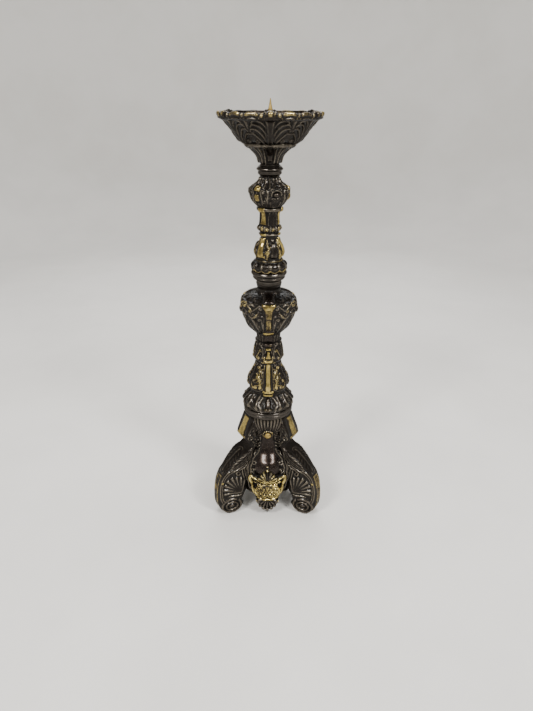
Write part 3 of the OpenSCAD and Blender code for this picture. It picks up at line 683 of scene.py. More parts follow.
def vase_ornament(r):
    """Punched shoulder, girdle of C-scrolls, leaves over the lower bowl, and a face panel through them."""
    # Punched shoulder with a few leaf ends near the girdle
    r.rocaille(66, 74.5, 12, 60, 26, 1.7, 0.45, seed=31)
    r.leaf([(60, 62), (60, 66), (59, 69.5)], 11, 0.9, lobes=4)
    r.leaf([(33, 62), (36, 65.5), (40, 69)], 8, 0.8, lobes=4)
    r.bead((22, 72.0), 1.3, 1.0)
    r.bead((34, 73.4), 1.0, 0.8)
    # Girdle: deep rocaille, C-scrolls back to back
    r.rocaille(47, 63, 9, 60, 54, 2.8, 1.7, seed=32, brass=0.06)
    r.ring(62.4, 64.4, 0.9, brass=0.08)
    r.scroll((18, 59.0), 3.3, (34, 50.0), 3.0, 2.5, 2.6, side=1, brass=0.16)
    r.scroll((57, 59.0), 3.6, (41, 53.5), 3.0, 2.6, 2.9, side=-1, brass=0.42)
    r.leaf([(30, 60), (38, 62), (45, 60), (50, 56)], 6.5, 2.3, lobes=4, brass=0.12)
    r.leaf([(22, 52), (28, 47), (36, 45), (44, 47)], 7.0, 2.6, lobes=5, brass=0.34)
    r.fan((60, 47.5), 1.5, 8.0, 10, 170, 6, 2.3, brass=0.14)
    r.bead((60, 47.0), 1.9, 2.6, brass=0.4)
    # Lower bowl: long leaves and cross-hatching between the straps
    r.rocaille(20, 45, 8, 60, 44, 2.4, 0.9, seed=33)
    r.leaf([(60, 14), (60, 24), (60, 34), (60, 44)], 15, 2.2, lobes=6)
    r.leaf([(25, 14), (26, 24), (31, 34), (41, 43)], 10.5, 2.0, lobes=6, brass=0.04)
    r.scroll((20, 41.5), 3.0, (19, 23.0), 2.2, 1.9, 2.0, side=-1, brass=0.10)
    r.leaf([(45, 13), (43.5, 20), (45, 28), (50, 34)], 8, 1.6, lobes=4)
    # Face panel: shoulder, brass lip, olive panel, strap, and the band that ties it
    r.panel([(76, 6.4), (72.5, 6.9), (64.5, 7.2)], 0.9, dome=1.0, polish=1.0, brass=0.16)
    r.panel([(64.6, 10.2), (62.0, 9.6), (56.5, 6.0)], 2.2, dome=0.6, polish=0.6, brass=1.0)
    r.panel([(57.5, 5.6), (51, 5.3), (44.5, 4.4)], 2.0, dome=0.5, polish=0.7, brass=0.52)
    r.panel([(45.0, 4.4), (36, 4.1), (24, 4.2)], 1.6, dome=0.5, polish=0.9, brass=0.40)
    r.strand([(7.4, 60), (9.0, 52), (9.4, 44), (11.5, 34), (15, 24)], 1.5, 1.9, brass=0.15)
    r.panel([(22, 5.2), (13, 5.6), (7, 6.2), (0.6, 6.8)], 0.9, dome=0.9, polish=1.0, brass=0.10)
    r.ring(13.4, 19.2, 1.0)
    r.panel([(19.4, 7.6), (16.4, 8.4), (13.2, 5.0)], 2.2, dome=0.6, brass=0.85, polish=0.5)
    # Foot
    r.ring(1.6, 4.2, 0.9, brass=0.06)
    for a in (30, 45, 60):
        r.leaf([(a, 0.6), (a, 5), (a + 1 if a < 60 else a, 11.5)], 6.2, 1.2, lobes=3)
    r.stipple(0.55, 0.14, seed=3)


def lower_baluster_ornament(r):
    """Tab and wedge on the neck, ribbed panel between leaf scrolls on the body, draped leaves at the foot."""
    # Neck
    r.rocaille(74, 100, 14, 60, 40, 2.3, 1.4, seed=41, brass=0.05)
    r.leaf([(24, 79), (21, 86), (25, 93), (36, 98.5)], 8.0, 2.3, lobes=5, brass=0.10)
    r.leaf([(60, 76), (60, 84), (60, 91), (60, 99)], 10, 2.2, lobes=6, brass=0.06)
    r.scroll((31, 89.0), 2.5, (42, 78.5), 2.8, 1.9, 2.4, side=1, brass=0.40)
    r.scroll((19, 80.0), 2.1, (24, 72.0), 1.8, 1.5, 2.4, side=-1, brass=0.45)
    r.panel([(102, 6.4), (99, 6.9), (95.2, 6.6)], 1.2, dome=1.2, polish=1.0, brass=0.16)
    r.panel([(93.8, 3.8), (89.8, 4.2)], 2.2, dome=0.5, brass=1.0, polish=0.6)
    r.panel([(89, 2.2), (84, 2.7), (78, 4.4)], 1.9, dome=0.5, brass=0.72, polish=0.6)
    # Band and groove
    r.ring(71.2, 76.0, 1.2)
    r.panel([(76.6, 5.6), (70.8, 6.0)], 2.2, dome=0.4, brass=0.62, polish=0.6)
    # Body
    r.rocaille(31, 66, 17, 60, 60, 2.9, 1.9, seed=42, brass=0.10)
    r.rocaille(34, 60, 22, 52, 34, 2.9, 2.3, seed=43, brass=0.42)
    r.leaf([(60, 30), (60, 40), (60, 50), (60, 64)], 12, 2.3, lobes=6, brass=0.04)
    r.scroll((44, 61.0), 2.6, (37, 48.5), 3.0, 2.1, 2.7, side=-1, brass=0.50)
    r.leaf([(20, 35), (25, 42), (31, 48), (40, 51)], 8.0, 2.7, lobes=4, brass=0.45)
    r.leaf([(19, 47), (24, 53), (32, 57), (41, 56)], 6.5, 2.5, lobes=4, brass=0.40)
    r.scroll((23, 36.0), 2.3, (36, 34.5), 2.6, 2.0, 2.7, side=1, brass=0.52)
    r.scroll((50, 42.0), 2.6, (44, 33.5), 2.2, 1.9, 2.6, side=1, brass=0.42)
    r.panel([(67, 6.4), (58, 6.6), (45, 7.2), (36, 8.2), (31, 9.6)], 0.7, brass=0.30, polish=0.6)
    for x in (1, -1):
        r.strand([(16.5 * x, 66), (17.6 * x, 58), (15.6 * x, 45), (15.4 * x, 36), (17.4 * x, 31.5)], 1.8, 2.0,
                ends=(0.8, 1.2), brass=0.30)
    r.strand([(0, 66.5), (0, 50), (0, 32)], 7.0, 2.9, ends=(0.85, 1.35), brass=0.66, polish=0.9)
    # Double band at the waist
    r.ring(24.8, 29.0, 1.2)
    r.ring(19.6, 23.0, 0.9)
    r.panel([(30.2, 8.2), (27, 8.8), (24.4, 7.6)], 2.2, dome=0.6, brass=0.72, polish=0.6)
    r.panel([(23.8, 7.2), (21, 8.0), (18.4, 7.0)], 1.9, dome=0.5, brass=0.55, polish=0.6)
    # Flared foot: overlapping draped leaves, a plain tongue in front with a bright tip
    r.rocaille(2, 18, 10, 60, 40, 2.4, 0.9, seed=44)
    for a, b, z in ((14, 21, 15), (21, 28, 11), (40, 44, 14), (50, 46, 10), (23, 17, 7), (54, 57, 13),
                    (31, 36, 13)):
        r.strand([(a, z + 3), ((a + b) / 2 + 1, z), (b, z - 4), (b + 2, z - 7)], 3.0, 1.9, ends=(0.3, 0.6))
    r.leaf([(27, 18), (29, 12), (28, 6), (25, 0.8)], 12, 2.2, lobes=5, sweep=0.35, base=0.6)
    r.leaf([(52, 19), (48, 12), (49, 6), (52, 0.8)], 13, 2.2, lobes=5, sweep=0.35, base=0.6)
    r.panel([(18, 3.6), (12.5, 4.6), (7.0, 4.4), (5.0, 3.4)], 0.8, dome=1.6, soft=1.6, polish=1.0, brass=0.16)
    r.panel([(6.4, 3.8), (4.2, 7.0), (1.8, 6.4), (0.4, 3.0)], 1.0, dome=2.4, soft=1.4, brass=0.34, polish=0.9)
    r.stipple(0.5, 0.10, seed=4)


def upper_baluster_ornament(r):
    """Lobed saucer foot, panelled pear with leaf sprays, garland of flowers, leafy neck and plain panel."""
    # Saucer foot: shallow lobes with a worn edge
    for a in (0, 30, 60):
        r.strand([(a - 15, 4.4), (a - 8, 1.8), (a, 1.0), (a + 8, 1.8), (a + 15, 4.4)], 1.7, 1.2, brass=0.60)
        r.strand([(a - 15, 9.6), (a - 8, 6.6), (a, 5.6), (a + 8, 6.6), (a + 15, 9.6)], 1.6, 0.6, brass=0.12)
    for a in (15, 45):
        r.leaf([(a, 13.5), (a, 9.5), (a, 5.0)], 7.5, 1.0, lobes=4, brass=0.20)
    r.ring(13.8, 16.4, 1.0, brass=0.30)
    # Pear
    r.rocaille(19, 42, 16, 60, 26, 2.0, 1.2, seed=51, brass=0.10)
    r.panel([(40, 3.0), (32, 5.6), (25, 6.6), (19, 5.0)], 0.8, centre=60, dome=1.5, soft=2.0)
    r.leaf([(31, 18), (33, 24), (38, 30), (47, 36)], 6.5, 2.3, lobes=4, brass=0.50)
    r.leaf([(28, 43), (30, 37), (36, 33.5), (45, 32)], 5.0, 2.1, lobes=4, brass=0.45)
    r.scroll((30, 28.0), 2.0, (27, 20.0), 1.7, 1.4, 1.9, side=-1, brass=0.40)
    r.panel([(45.5, 3.4), (38, 3.7), (30, 4.4), (24, 5.5), (20.5, 6.4)], 1.4, rim=0.4, dome=0.9, brass=0.86,
            polish=0.8)
    r.panel([(22.6, 6.8), (19.4, 7.4)], 2.1, dome=0.4, brass=0.95)
    # Band, then the garland
    r.ring(47.4, 51.2, 1.1, brass=0.22)
    r.panel([(51.4, 5.0), (47.2, 5.2)], 1.7, dome=0.3, brass=0.9)
    for a, z, b in ((0, 57.2, 3.4), (27, 56.8, 2.9), (60, 56.8, 3.2)):
        k = r.k_at(r.s_of_z(z))
        for i in range(5):
            t = math.radians(90 + 72 * i)
            r.bead((a + b * 0.64 * math.cos(t) / k, z + b * 0.64 * math.sin(t)), b * 0.48, 1.9, brass=0.48)
        r.bead((a, z), b * 0.34, 2.7, brass=0.6)
    for a in (14, 43):
        r.leaf([(a, 53), (a + 2, 57), (a + 1, 61)], 4.4, 1.8, lobes=3, brass=0.20)
    # Neck
    r.rocaille(61, 80, 15, 60, 16, 2.0, 0.8, seed=52)
    r.leaf([(60, 61), (60, 66), (60, 72), (60, 79)], 8.5, 1.4, lobes=5)
    r.leaf([(34, 62), (34, 68), (37, 74), (43, 79)], 6.0, 1.4, lobes=4, brass=0.08)
    r.panel([(80, 3.0), (72, 3.4), (66, 4.4), (62.0, 5.4)], 1.2, dome=0.5, brass=0.85, polish=0.6)
    r.ring(79.8, 83.8, 1.0, brass=0.12)
    r.panel([(83.9, 5.4), (79.6, 5.4)], 1.6, dome=0.3, brass=0.85)
    r.stipple(0.45, 0.10, seed=5)


def knop_ornament(r):
    """Straps and C-scrolls on three sides, an oval boss under a hood between them, wavy leaves above."""
    r.ring(0.4, 2.6, 0.9, brass=0.10)
    r.rocaille(4, 27, 12, 46, 30, 2.6, 1.5, seed=61)
    for a in (14, 28, 42):
        r.leaf([(a, 2), (a + 1, 6), (a, 10)], 7, 1.7, lobes=3)
    r.scroll((20, 21.0), 3.0, (24, 10.0), 2.5, 2.1, 2.5, side=-1, brass=0.14)
    r.leaf([(34, 6), (32, 12), (35, 18), (31, 25)], 8.0, 2.3, lobes=4, brass=0.04)
    # Boss and hood
    r.scales([(14.5, 7.5), (4, 4.0)], 1.9, 1.5, centre=60)
    r.fan((60, 18.5), 5.5, 10.5, 8, 172, 9, 2.4)
    s0 = r.s_of_z(18.4)
    arch = np.radians(np.linspace(-12, 192, 24))
    r.ridge(np.column_stack([60 + 6.6 * np.cos(arch) / r.k_at(s0), s0 + 5.0 * np.sin(arch)]), 2.3, 3.2,
            brass=0.08)
    d = np.hypot((r.across - 60) * r.k / 4.9, (r.s - s0) / 3.1)
    at = np.nonzero(d < 1)[0]
    r.put(at, 3.4 * np.sqrt(1 - d[at] ** 2), polish=1.0)
    # Strap
    r.panel([(27.6, 3.6), (24, 5.0), (21.5, 4.6)], 1.9, dome=0.6, brass=0.85, polish=0.6)
    r.panel([(18.6, 3.4), (14.6, 4.6), (9.6, 3.2)], 1.9, dome=0.8, brass=0.66, polish=0.9)
    r.bead((0, 20.0), 1.5, 2.0, brass=0.15)
    r.panel([(7.5, 2.4), (3.0, 3.0)], 1.4, dome=0.3, brass=0.25)
    # Wavy leaves on the neck
    for a, w in ((0, 6.4), (20, 5.6), (40, 5.6), (60, 6.4)):
        r.leaf([(a, 26.0), (a + (1 if 0 < a < 60 else 0), 30.5), (a, 36.8)], w, 1.9, lobes=3)
    r.stipple(0.5, 0.10, seed=6)


def cup_ornament(r):
    """A calyx: plain swelling fronts between pairs of ribbed leaf edges that end in small volutes."""
    r.ring(0.2, 1.8, 0.5, brass=0.10)
    r.ring(20.6, 26.4, 2.4)
    for a in (0, 60):
        r.panel([(2.4, 4.0), (9, 5.0), (15, 7.0), (23.5, 10.5)], 0.5, centre=a, dome=1.2, soft=2.0)
        r.leaf([(a, 9), (a, 15), (a, 20), (a, 24.6)], 6.0, 2.0, lobes=4)
    for a, t in ((21, 18), (39, 42)):
        r.strand([(a, 2.0), (a, 9), (t, 17), (t, 24)], 2.0, 2.3, brass=0.05)
    r.leaf([(30, 3), (30, 9), (30, 16), (30, 24)], 7, 1.7, lobes=6)
    for a, hand in ((12, -1), (48, 1)):
        r.ridge(r.coil((a, 21.8), 2.8, 0.9, -90, hand * 420), 1.8, 3.0, brass=0.10)


casting("lower_baluster", outline(LOWER_BALUSTER, 250), lower_baluster_ornament, 384, low("lower_baluster"),
        sink=[(0, 0.9), (18, 1.1), (66, 1.0), (102, 0.9)], seed=2)
casting("vase", outline(VASE, 236), vase_ornament, 420, low("vase"),
        sink=[(0, 0.5), (20, 0.9), (50, 1.1), (85, 0.3)], seed=3)
casting("upper_baluster", outline(UPPER_BALUSTER, 250), upper_baluster_ornament, 300, low("upper_baluster"),
        sink=[(0, 0.5), (30, 1.0), (60, 0.8), (84, 0.3)], turn=-90 + UPPER_TURN, seed=4)
casting("knop", outline(KNOP, 150), knop_ornament, 330, low("knop"), sink=[(0, 0.6), (19, 1.3), (38, 0.6)],
        turn=-90 + UPPER_TURN, seed=5)
casting("pan_cup", outline(CUP, 110), cup_ornament, 300, low("pan_cup"),
        sink=[(0, 0.3), (12, 0.8), (21, 0.8), (25, 0.0)], seed=6)


# ---------------------------------------------------------------- drip pan

def drip_pan():
    """Lobed rim, six leaves that curl over it, nested curls and scrolls between them, turned bowl inside."""
    under = outline(PAN, 170)
    floor_z, seat_z, cols = 5.0, 8.0, 720
    bowl = curve([(61.0, 35.0), (59.6, 34.6), (58.2, 33.0), (56.6, 30.0), (51.6, 25.2), (45, 18.2),
                  (38, 10.4), (33.5, 6.6), (29, 5.4), (24, floor_z), (21.5, floor_z), (20.8, 5.7),
                  (19.6, 5.7), (18.9, floor_z), (12, floor_z), (10.6, 5.3), (10, 6.2), (10, 7.6),
                  (9.6, seat_z), (7, seat_z), (ROD_HOLE, seat_z)], 90)[1:]

    def draw(r):
        # Rim: a thick roll of long bars between beads, with hollows under the bars
        r.ring(25.4, 37.0, 2.2, form="flat", brass=0.30)
        for side, base in ((1, 0), (-1, 60)):
            at = lambda d: base + side * d
            r.strand([(at(13.2), 31.6), (at(16.5), 32.8), (at(20), 33.0), (at(23.5), 32.8), (at(26.8), 31.6)],
                    5.4, 4.1, ends=(0.75, 0.75), brass=0.40, polish=0.3)
            r.bead((at(9.4), 31.2), 2.6, 4.4, brass=0.34)
            r.strand([(at(13), 27.6), (at(20), 28.4), (at(27), 27.6)], 1.6, 3.0, ends=(0.4, 0.4), brass=0.20)
        r.bead((30, 31.4), 2.6, 4.2, brass=0.30)
        for a in (5.5, 11.6, 28, 32, 48.4, 54.5):
            r.bead((a, 28.6), 1.5, 3.2, brass=0.34)
        # Fountain of nested curls from the foot of each leaf, bending outwards under the rim
        for side, base in ((1, 0), (-1, 60)):
            at = lambda d: base + side * d
            for path, w, h in (
                ([(3.4, 6), (4.0, 14), (7.0, 20.5), (13, 24.6), (19.5, 25.2), (22.5, 23.2)], 3.0, 2.3),
                ([(4.6, 3), (5.6, 9.5), (9.4, 15.8), (15.5, 20.4), (22.5, 21.6), (25.6, 19.2)], 3.0, 2.6),
                ([(6.4, 1.4), (8.4, 6.0), (13.0, 11.2), (19.0, 15.6), (25.5, 16.6), (28.0, 14.2)], 3.4, 2.1),
                ([(9.6, 0.7), (13.0, 3.2), (18.5, 7.4), (24.0, 11.0), (28.6, 11.4)], 2.8, 2.2),
            ):
                r.strand([(at(a), z) for a, z in path], w, h, ends=(0.35, 0.9))
                a, z = path[-1]
                r.bead((at(a), z), w * 0.55, h)
            r.ridge(r.coil((at(20.5), 3.2), 3.4, 1.0, -90, side * 400), 2.0, 2.4)
            r.strand([(at(25.5), 26.4), (at(28), 23), (at(29.6), 18), (at(30), 12)], 1.6, 1.8,
                     ends=(0.6, 0.4))
            r.rocaille(3, 26, *sorted((at(8), at(29))), 34, 1.7, 0.9, seed=71)
        r.leaf([(30, 16), (30, 21), (30, 27.5)], 5.0, 2.3, lobes=4)
        # Main leaves: narrow fluted stem, wide under the rim, tip curled over it
        for a in (0, 60):
            r.panel([(0.3, 3.0), (8, 3.6), (17, 4.4), (24, 6.6), (29, 7.6), (34.6, 6.0)], 1.2, centre=a,
                    dome=1.6, soft=1.2)
            for d in (-3.0, -1.5, 0.0, 1.5, 3.0):
                r.strand([(a + d * 1.2, 0.8), (a + d * 0.9, 10.0), (a + d * 1.1, 19.0), (a + d * 2.0, 30.0)],
                         1.5, 1.0, over=2.3, ends=(0.6, 0.8))
            r.bead((a, 33.0), 4.6, 4.8, brass=0.34, polish=0.3)
            for d in (-5.4, -2.8, 2.8, 5.4):
                r.strand([(a + d * 0.6, 28.5), (a + d, 34.8)], 2.2, 3.6, brass=0.30)
        r.stipple(0.7, 0.12, seed=7)

    h, brass, polish, stand = round_relief(under, cols, draw)
    sink = np.interp(under[:, 1], [0, 6, 25, 28, 35], [0.0, 1.7, 2.2, 1.8, 1.9])[:, None]
    h = h * (1 + 0.1 * unevenness(len(under), cols, 8)) - sink
    # Hands rub the rim, not the underside; under it the painted sheen on crests and painted shade in hollows
    # are weaker too
    stand = 0.5 + (stand - 0.5) * np.interp(under[:, 1], [0, 24, 27], [0.45, 0.6, 1])[:, None]
    r_out, z_out = raised(under, h)
    # The lip rises and falls with the ornament, and the bowl's edge follows it
    lip = np.interp(np.arange(len(bowl)), [0, 4, 9], [1, 0.7, 0])[:, None] * (h[-1:] + sink[-1] - 0.8) * 0.6
    r_bowl = bowl[:, :1]
    lathe_lines = np.where((r_bowl > 30) & (r_bowl < 56), 0.18 * np.sin(r_bowl * 2.4), 0)
    rod_hole = np.full((1, cols), ROD_HOLE)
    r = np.vstack([r_out, np.broadcast_to(r_bowl, lip.shape), rod_hole])
    z = np.vstack([z_out, bowl[:, 1:] + lip + lathe_lines, 0 * rod_hole]) + low("drip_pan")
    gilt = np.interp(np.arange(len(bowl)), [0, 8, 14, 60, 90], [0.30, 0.20, 0.18, 0.26, 0.45])
    values = {}
    for key, outside, inside in (("brass", brass, gilt), ("polish", polish, 0.35 + 0 * gilt),
                                 ("stand", stand, 0.52 + 0 * gilt)):
        inside = np.append(inside, 0.4)[:, None]
        values[key] = np.vstack([outside, np.broadcast_to(inside, (len(inside), cols))])
    revolve("drip_pan", r, z, -90.0, values)


drip_pan()


# ---------------------------------------------------------------- base

def base_ornament(r):
    """One face of the tripod: rays round a boss in pearls, hourglass panel, leaf scrolls on both sides."""
    r.rocaille(100, 162, 22, 60, 60, 3.0, 1.4, seed=81)
    r.rocaille(42, 108, 26, 60, 60, 3.4, 1.8, seed=82)
    # Crown and rays round the boss
    r.ring(164.2, 166.8, 1.0, brass=0.12)
    for a in (0, 9, 18, 27, 36):
        r.strand([(a * 0.66, 148 - a * 0.05), (a * 0.86, 156), (a, 164.8)], 4.2, 2.3, ends=(0.5, 1.1),
                 brass=0.05)
    r.fan((0, 140), 8.8, 17.0, -38, 218, 16, 2.6, brass=0.06)
    s0 = r.s_of_z(140.0)
    disc, disc_h, pearls, pearl_ring, pearl = 8.6, 2.2, 15, 7.1, 1.35
    t = np.hypot(r.across * r.k, r.s - s0)
    at = np.nonzero(t < disc)[0]
    r.put(at, disc_h * np.minimum(1, (disc - t[at]) / 1.2), brass=0.25)
    for i in range(pearls):
        w = math.radians(-90 + 360 / pearls * i)
        x, s = pearl_ring * math.cos(w), pearl_ring * math.sin(w)
        d = np.hypot((r.across - x / r.k_at(s0)) * r.k, r.s - s0 - s) / pearl
        at = np.nonzero(d < 1)[0]
        r.put(at, disc_h + 1.4 * np.sqrt(1 - d[at] ** 2), brass=0.45)
    # C-scroll arches beside the boss, volutes on the shoulders, strings of curls down the waist
    r.strand([(17, 140), (22, 137.5), (30, 136.5), (36, 132), (37, 126)], 3.0, 3.0, ends=(0.6, 1.0),
             brass=0.10)
    r.ridge(r.coil((31, 127.5), 5.2, 1.4, 20, 430), 2.4, 2.8, brass=0.12)
    r.leaf([(44, 160), (40, 152), (36, 145), (38, 137)], 9, 2.5, lobes=5)
    for z, a in ((131.5, 24), (126, 25), (120.5, 26.5), (115, 28)):
        r.bead((a, z), 1.9, 2.6, brass=0.10)
        r.leaf([(a + 2, z - 1), (a + 7, z - 2), (a + 11, z + 1)], 4.6, 2.2, lobes=3)
    # Hourglass panel
    z = np.interp(r.s, arc_length(shell_line), shell_line[:, 1])
    half = np.interp(z, [64, 70, 76, 84, 91, 100, 108, 117, 126, 134],
                     [12, 15, 18, 22, 22, 19, 14.5, 11, 9.6, 8.6])
    u = r.across * r.k / half
    swell = 0.6 + (0.8 + 3.0 * np.exp(-(((z - 88) / 14) ** 2))) * (1 - u**2)
    at = np.nonzero((u < 1) & (z > 68) & (z < 134))[0]
    r.put(at, (swell * ease(134 - z, 0, 4) * ease(z, 68, 76))[at], polish=1.0)
    # Scrolls and long strands beside it
    r.strand([(24, 112), (25, 106), (30, 101), (33, 95), (31, 90)], 3.4, 3.6, ends=(0.6, 1.0), brass=0.06)
    r.ridge(r.coil((28.5, 92.5), 3.8, 1.2, -20, -420), 2.2, 3.4, brass=0.10)
    r.ridge(r.coil((28.0, 80.0), 4.4, 1.4, 150, -420), 2.4, 3.6, brass=0.12)
    for a, w in ((35, 4.0), (40.5, 4.2), (46, 4.2)):
        r.strand([(a + 1, 106), (a - 2, 96), (a - 1, 84), (a - 3.5, 72), (a - 5, 58)], w, 2.9,
                 ends=(0.5, 0.3))
    r.leaf([(27, 74), (30, 66), (31, 56), (28, 47)], 9, 3.0, lobes=5)
    r.scroll((36, 60), 3.6, (33, 46), 3.4, 2.4, 3.0, side=1, brass=0.08)
    r.ring(32.6, 36.0, 1.6, brass=0.10)
    r.stipple(0.75, 0.14, seed=9)


# The shell's section from the crown's hole back down its inside
CROWN = [(ROD_HOLE, 167), (ROD_HOLE, 161), (14, 161), (24, 161), (28.5, 158), (28.3, 150), (26.4, 141),
         (23.2, 133), (22.4, 124), (24.4, 115), (28, 107), (33.4, 99.5), (39, 91.5), (43, 83), (44.2, 75),
         (43.4, 66), (42.8, 54), (42, 42), (40.2, 36), (39.8, 32.3)]
shell_line = outline(SHELL, 330)
casting("base_shell", shell_line, base_ornament, 600, 0.0,
        sink=[(32, 1.2), (60, 1.8), (100, 2.0), (118, 1.4), (140, 1.4), (167, 1.0)], inner=CROWN, seed=10)


# ---------------------------------------------------------------- legs

LEG_OUTER = [(35.5, 167), (40.4, 154.5), (45, 143.5), (47, 135.5), (45.2, 129), (40.4, 124.6), (36.8, 118.5),
             (43, 112), (54, 106.2), (67, 95), (80, 81), (88.5, 66), (92.5, 50), (93.5, 34), (92.2, 20),
             (87, 7.5), (80, 0)]
# For each point of the outer edge, the height on the shell that its row runs to, or a point of the arch
LEG_FROM = [167, 157, 148, 141, 134, 127, 119, 110, 101, 89, 76, 62, (43.5, 46), (50.5, 34.5), (54.8, 24),
            (53.0, 14), (65, 0)]
FOOT = (72.5, 15.8)   # middle of the foot volute


def leg_side(r):
    """Side of a leg: scroll band round the edge, ribbed fan, acanthus on the knee, foot volute."""
    r.rocaille(44, 100, 36, 62, 26, 3.4, 1.5, seed=21)
    # Shoulder above the waist
    r.strand([(33, 160), (37.6, 150), (42, 141), (42, 134)], 3.4, 2.4, brass=0.12)
    r.ridge(r.coil((38.9, 134.0), 5.6, 1.6, 90, -430), 2.6, 3.2, brass=0.15)
    r.leaf([(29, 163), (31, 152), (31.5, 143), (30, 132)], 8.5, 2.0, lobes=5)
    r.strand([(35.5, 127), (31.5, 121), (33.0, 114.5), (41, 108.5)], 3.2, 2.4, brass=0.10)
    for z in (128, 124, 120, 116):
        r.bead((28.0 + abs(z - 122) * 0.2, z), 1.5, 1.8, brass=0.2)
    # Broad acanthus from the waist to the knee, in a border that curls back under it
    r.leaf([(37, 113), (47, 103), (59, 93.5), (73, 84.5)], 15, 3.2, lobes=6, sweep=0.30, base=0.6)
    r.strand([(36, 108), (41, 98.5), (52, 89), (64, 81.5), (75, 77.5)], 2.6, 3.0, ends=(0.5, 0.8), brass=0.08)
    r.strand([(47, 88), (52, 83.5), (58, 82), (64, 77), (61, 71.5)], 3.0, 3.4, ends=(0.5, 1.0), brass=0.12)
    # Scroll band along the outer edge down to the volute, curled in at its top
    r.ridge(r.coil((61.5, 74.0), 4.6, 1.3, 60, 430), 2.2, 3.0, brass=0.12)
    r.strand([(62, 78.5), (72, 80.5), (81.5, 73), (86.8, 61), (88.6, 47), (88.0, 33), (85.4, 24)],
            5.6, 3.0, ends=(0.8, 0.9), form="band", brass=0.16)
    r.bead((86.6, 62.5), 2.0, 3.6, brass=0.85)
    # Fan of ribs over the foot, each with a fine rib on it
    hub = (56, 37.5)
    for tip, w in (((51, 60), 5.6), ((56.5, 64), 6.2), ((63.5, 66.5), 6.4), ((70.5, 66.5), 6.6),
                   ((77, 62.5), 6.6), ((81.5, 56), 6.4), ((83.4, 48), 5.8), ((83.2, 40), 5.4)):
        mid = (hub[0] * 0.42 + tip[0] * 0.58 + (tip[1] - 52) * 0.10,
               hub[1] * 0.42 + tip[1] * 0.58 + (tip[0] - 60) * 0.06)
        r.strand([hub, mid, tip], w, 3.4, ends=(0.30, 1.0), brass=0.06)
        r.strand([((hub[0] + mid[0]) / 2, (hub[1] + mid[1]) / 2), mid, tip], w * 0.35, 1.2, over=2.6,
                 brass=0.10)
    # Long leaf strands against the shell
    for x, w in ((40.5, 3.4), (44.5, 3.6), (48.8, 3.2)):
        r.strand([(x + 4, 92), (x + 5.5, 82), (x + 4, 70), (x + 1, 57)], w, 2.4, ends=(0.5, 0.3), brass=0.05)
    # Foot volute: rings round a plain eye
    for t, w, h in ((1.0, 4.4, 2.8), (0.60, 3.4, 3.4)):
        a = np.radians(np.linspace(150 - 30 * t, -215, 30))
        ring = np.column_stack([FOOT[0] + t * 15.4 * np.cos(a), FOOT[1] - 0.4 + t * 12.0 * np.sin(a)])
        r.ridge(ring, w, h, brass=0.06, ends=(1, 1), polish=0.4)
    d = np.hypot((r.across - FOOT[0]) / 5.4, (r.s - FOOT[1]) / 3.6)
    at = np.nonzero(d < 1)[0]
    r.put(at, 2.6 * np.sqrt(1 - d[at] ** 2), polish=0.8)
    r.strand([(56.0, 33), (61, 31.4), (68, 32.6), (76, 33)], 2.4, 2.0, brass=0.08)
    r.stipple(0.7, 0.16, seed=11)


def leg_edge(r):
    """Outer edge of a leg: plain brass shoulder, dark leaf over the arm, brass borders over the foot."""
    r.panel([(165, 6.4), (150, 6.8), (139, 8.4), (134, 8.8)], 1.4, dome=0.9, brass=0.54, polish=0.4)
    r.strand([(-2, 135.5), (5, 135.5), (11, 135.5)], 5.4, 2.8, brass=0.42)
    r.leaf([(0, 108), (0, 100), (0, 91), (0, 80)], 25, 1.6, lobes=6, sweep=0.3, base=0.6)
    r.rocaille(76, 106, 2, 11, 22, 2.6, 1.1, seed=22)
    r.panel([(74, 6.4), (58, 6.2), (30, 6.4), (4, 6.6)], 0.7, rim=0.9, rim_w=1.4, brass=0.42, polish=0.3)
    r.stipple(0.7, 0.22, seed=12)


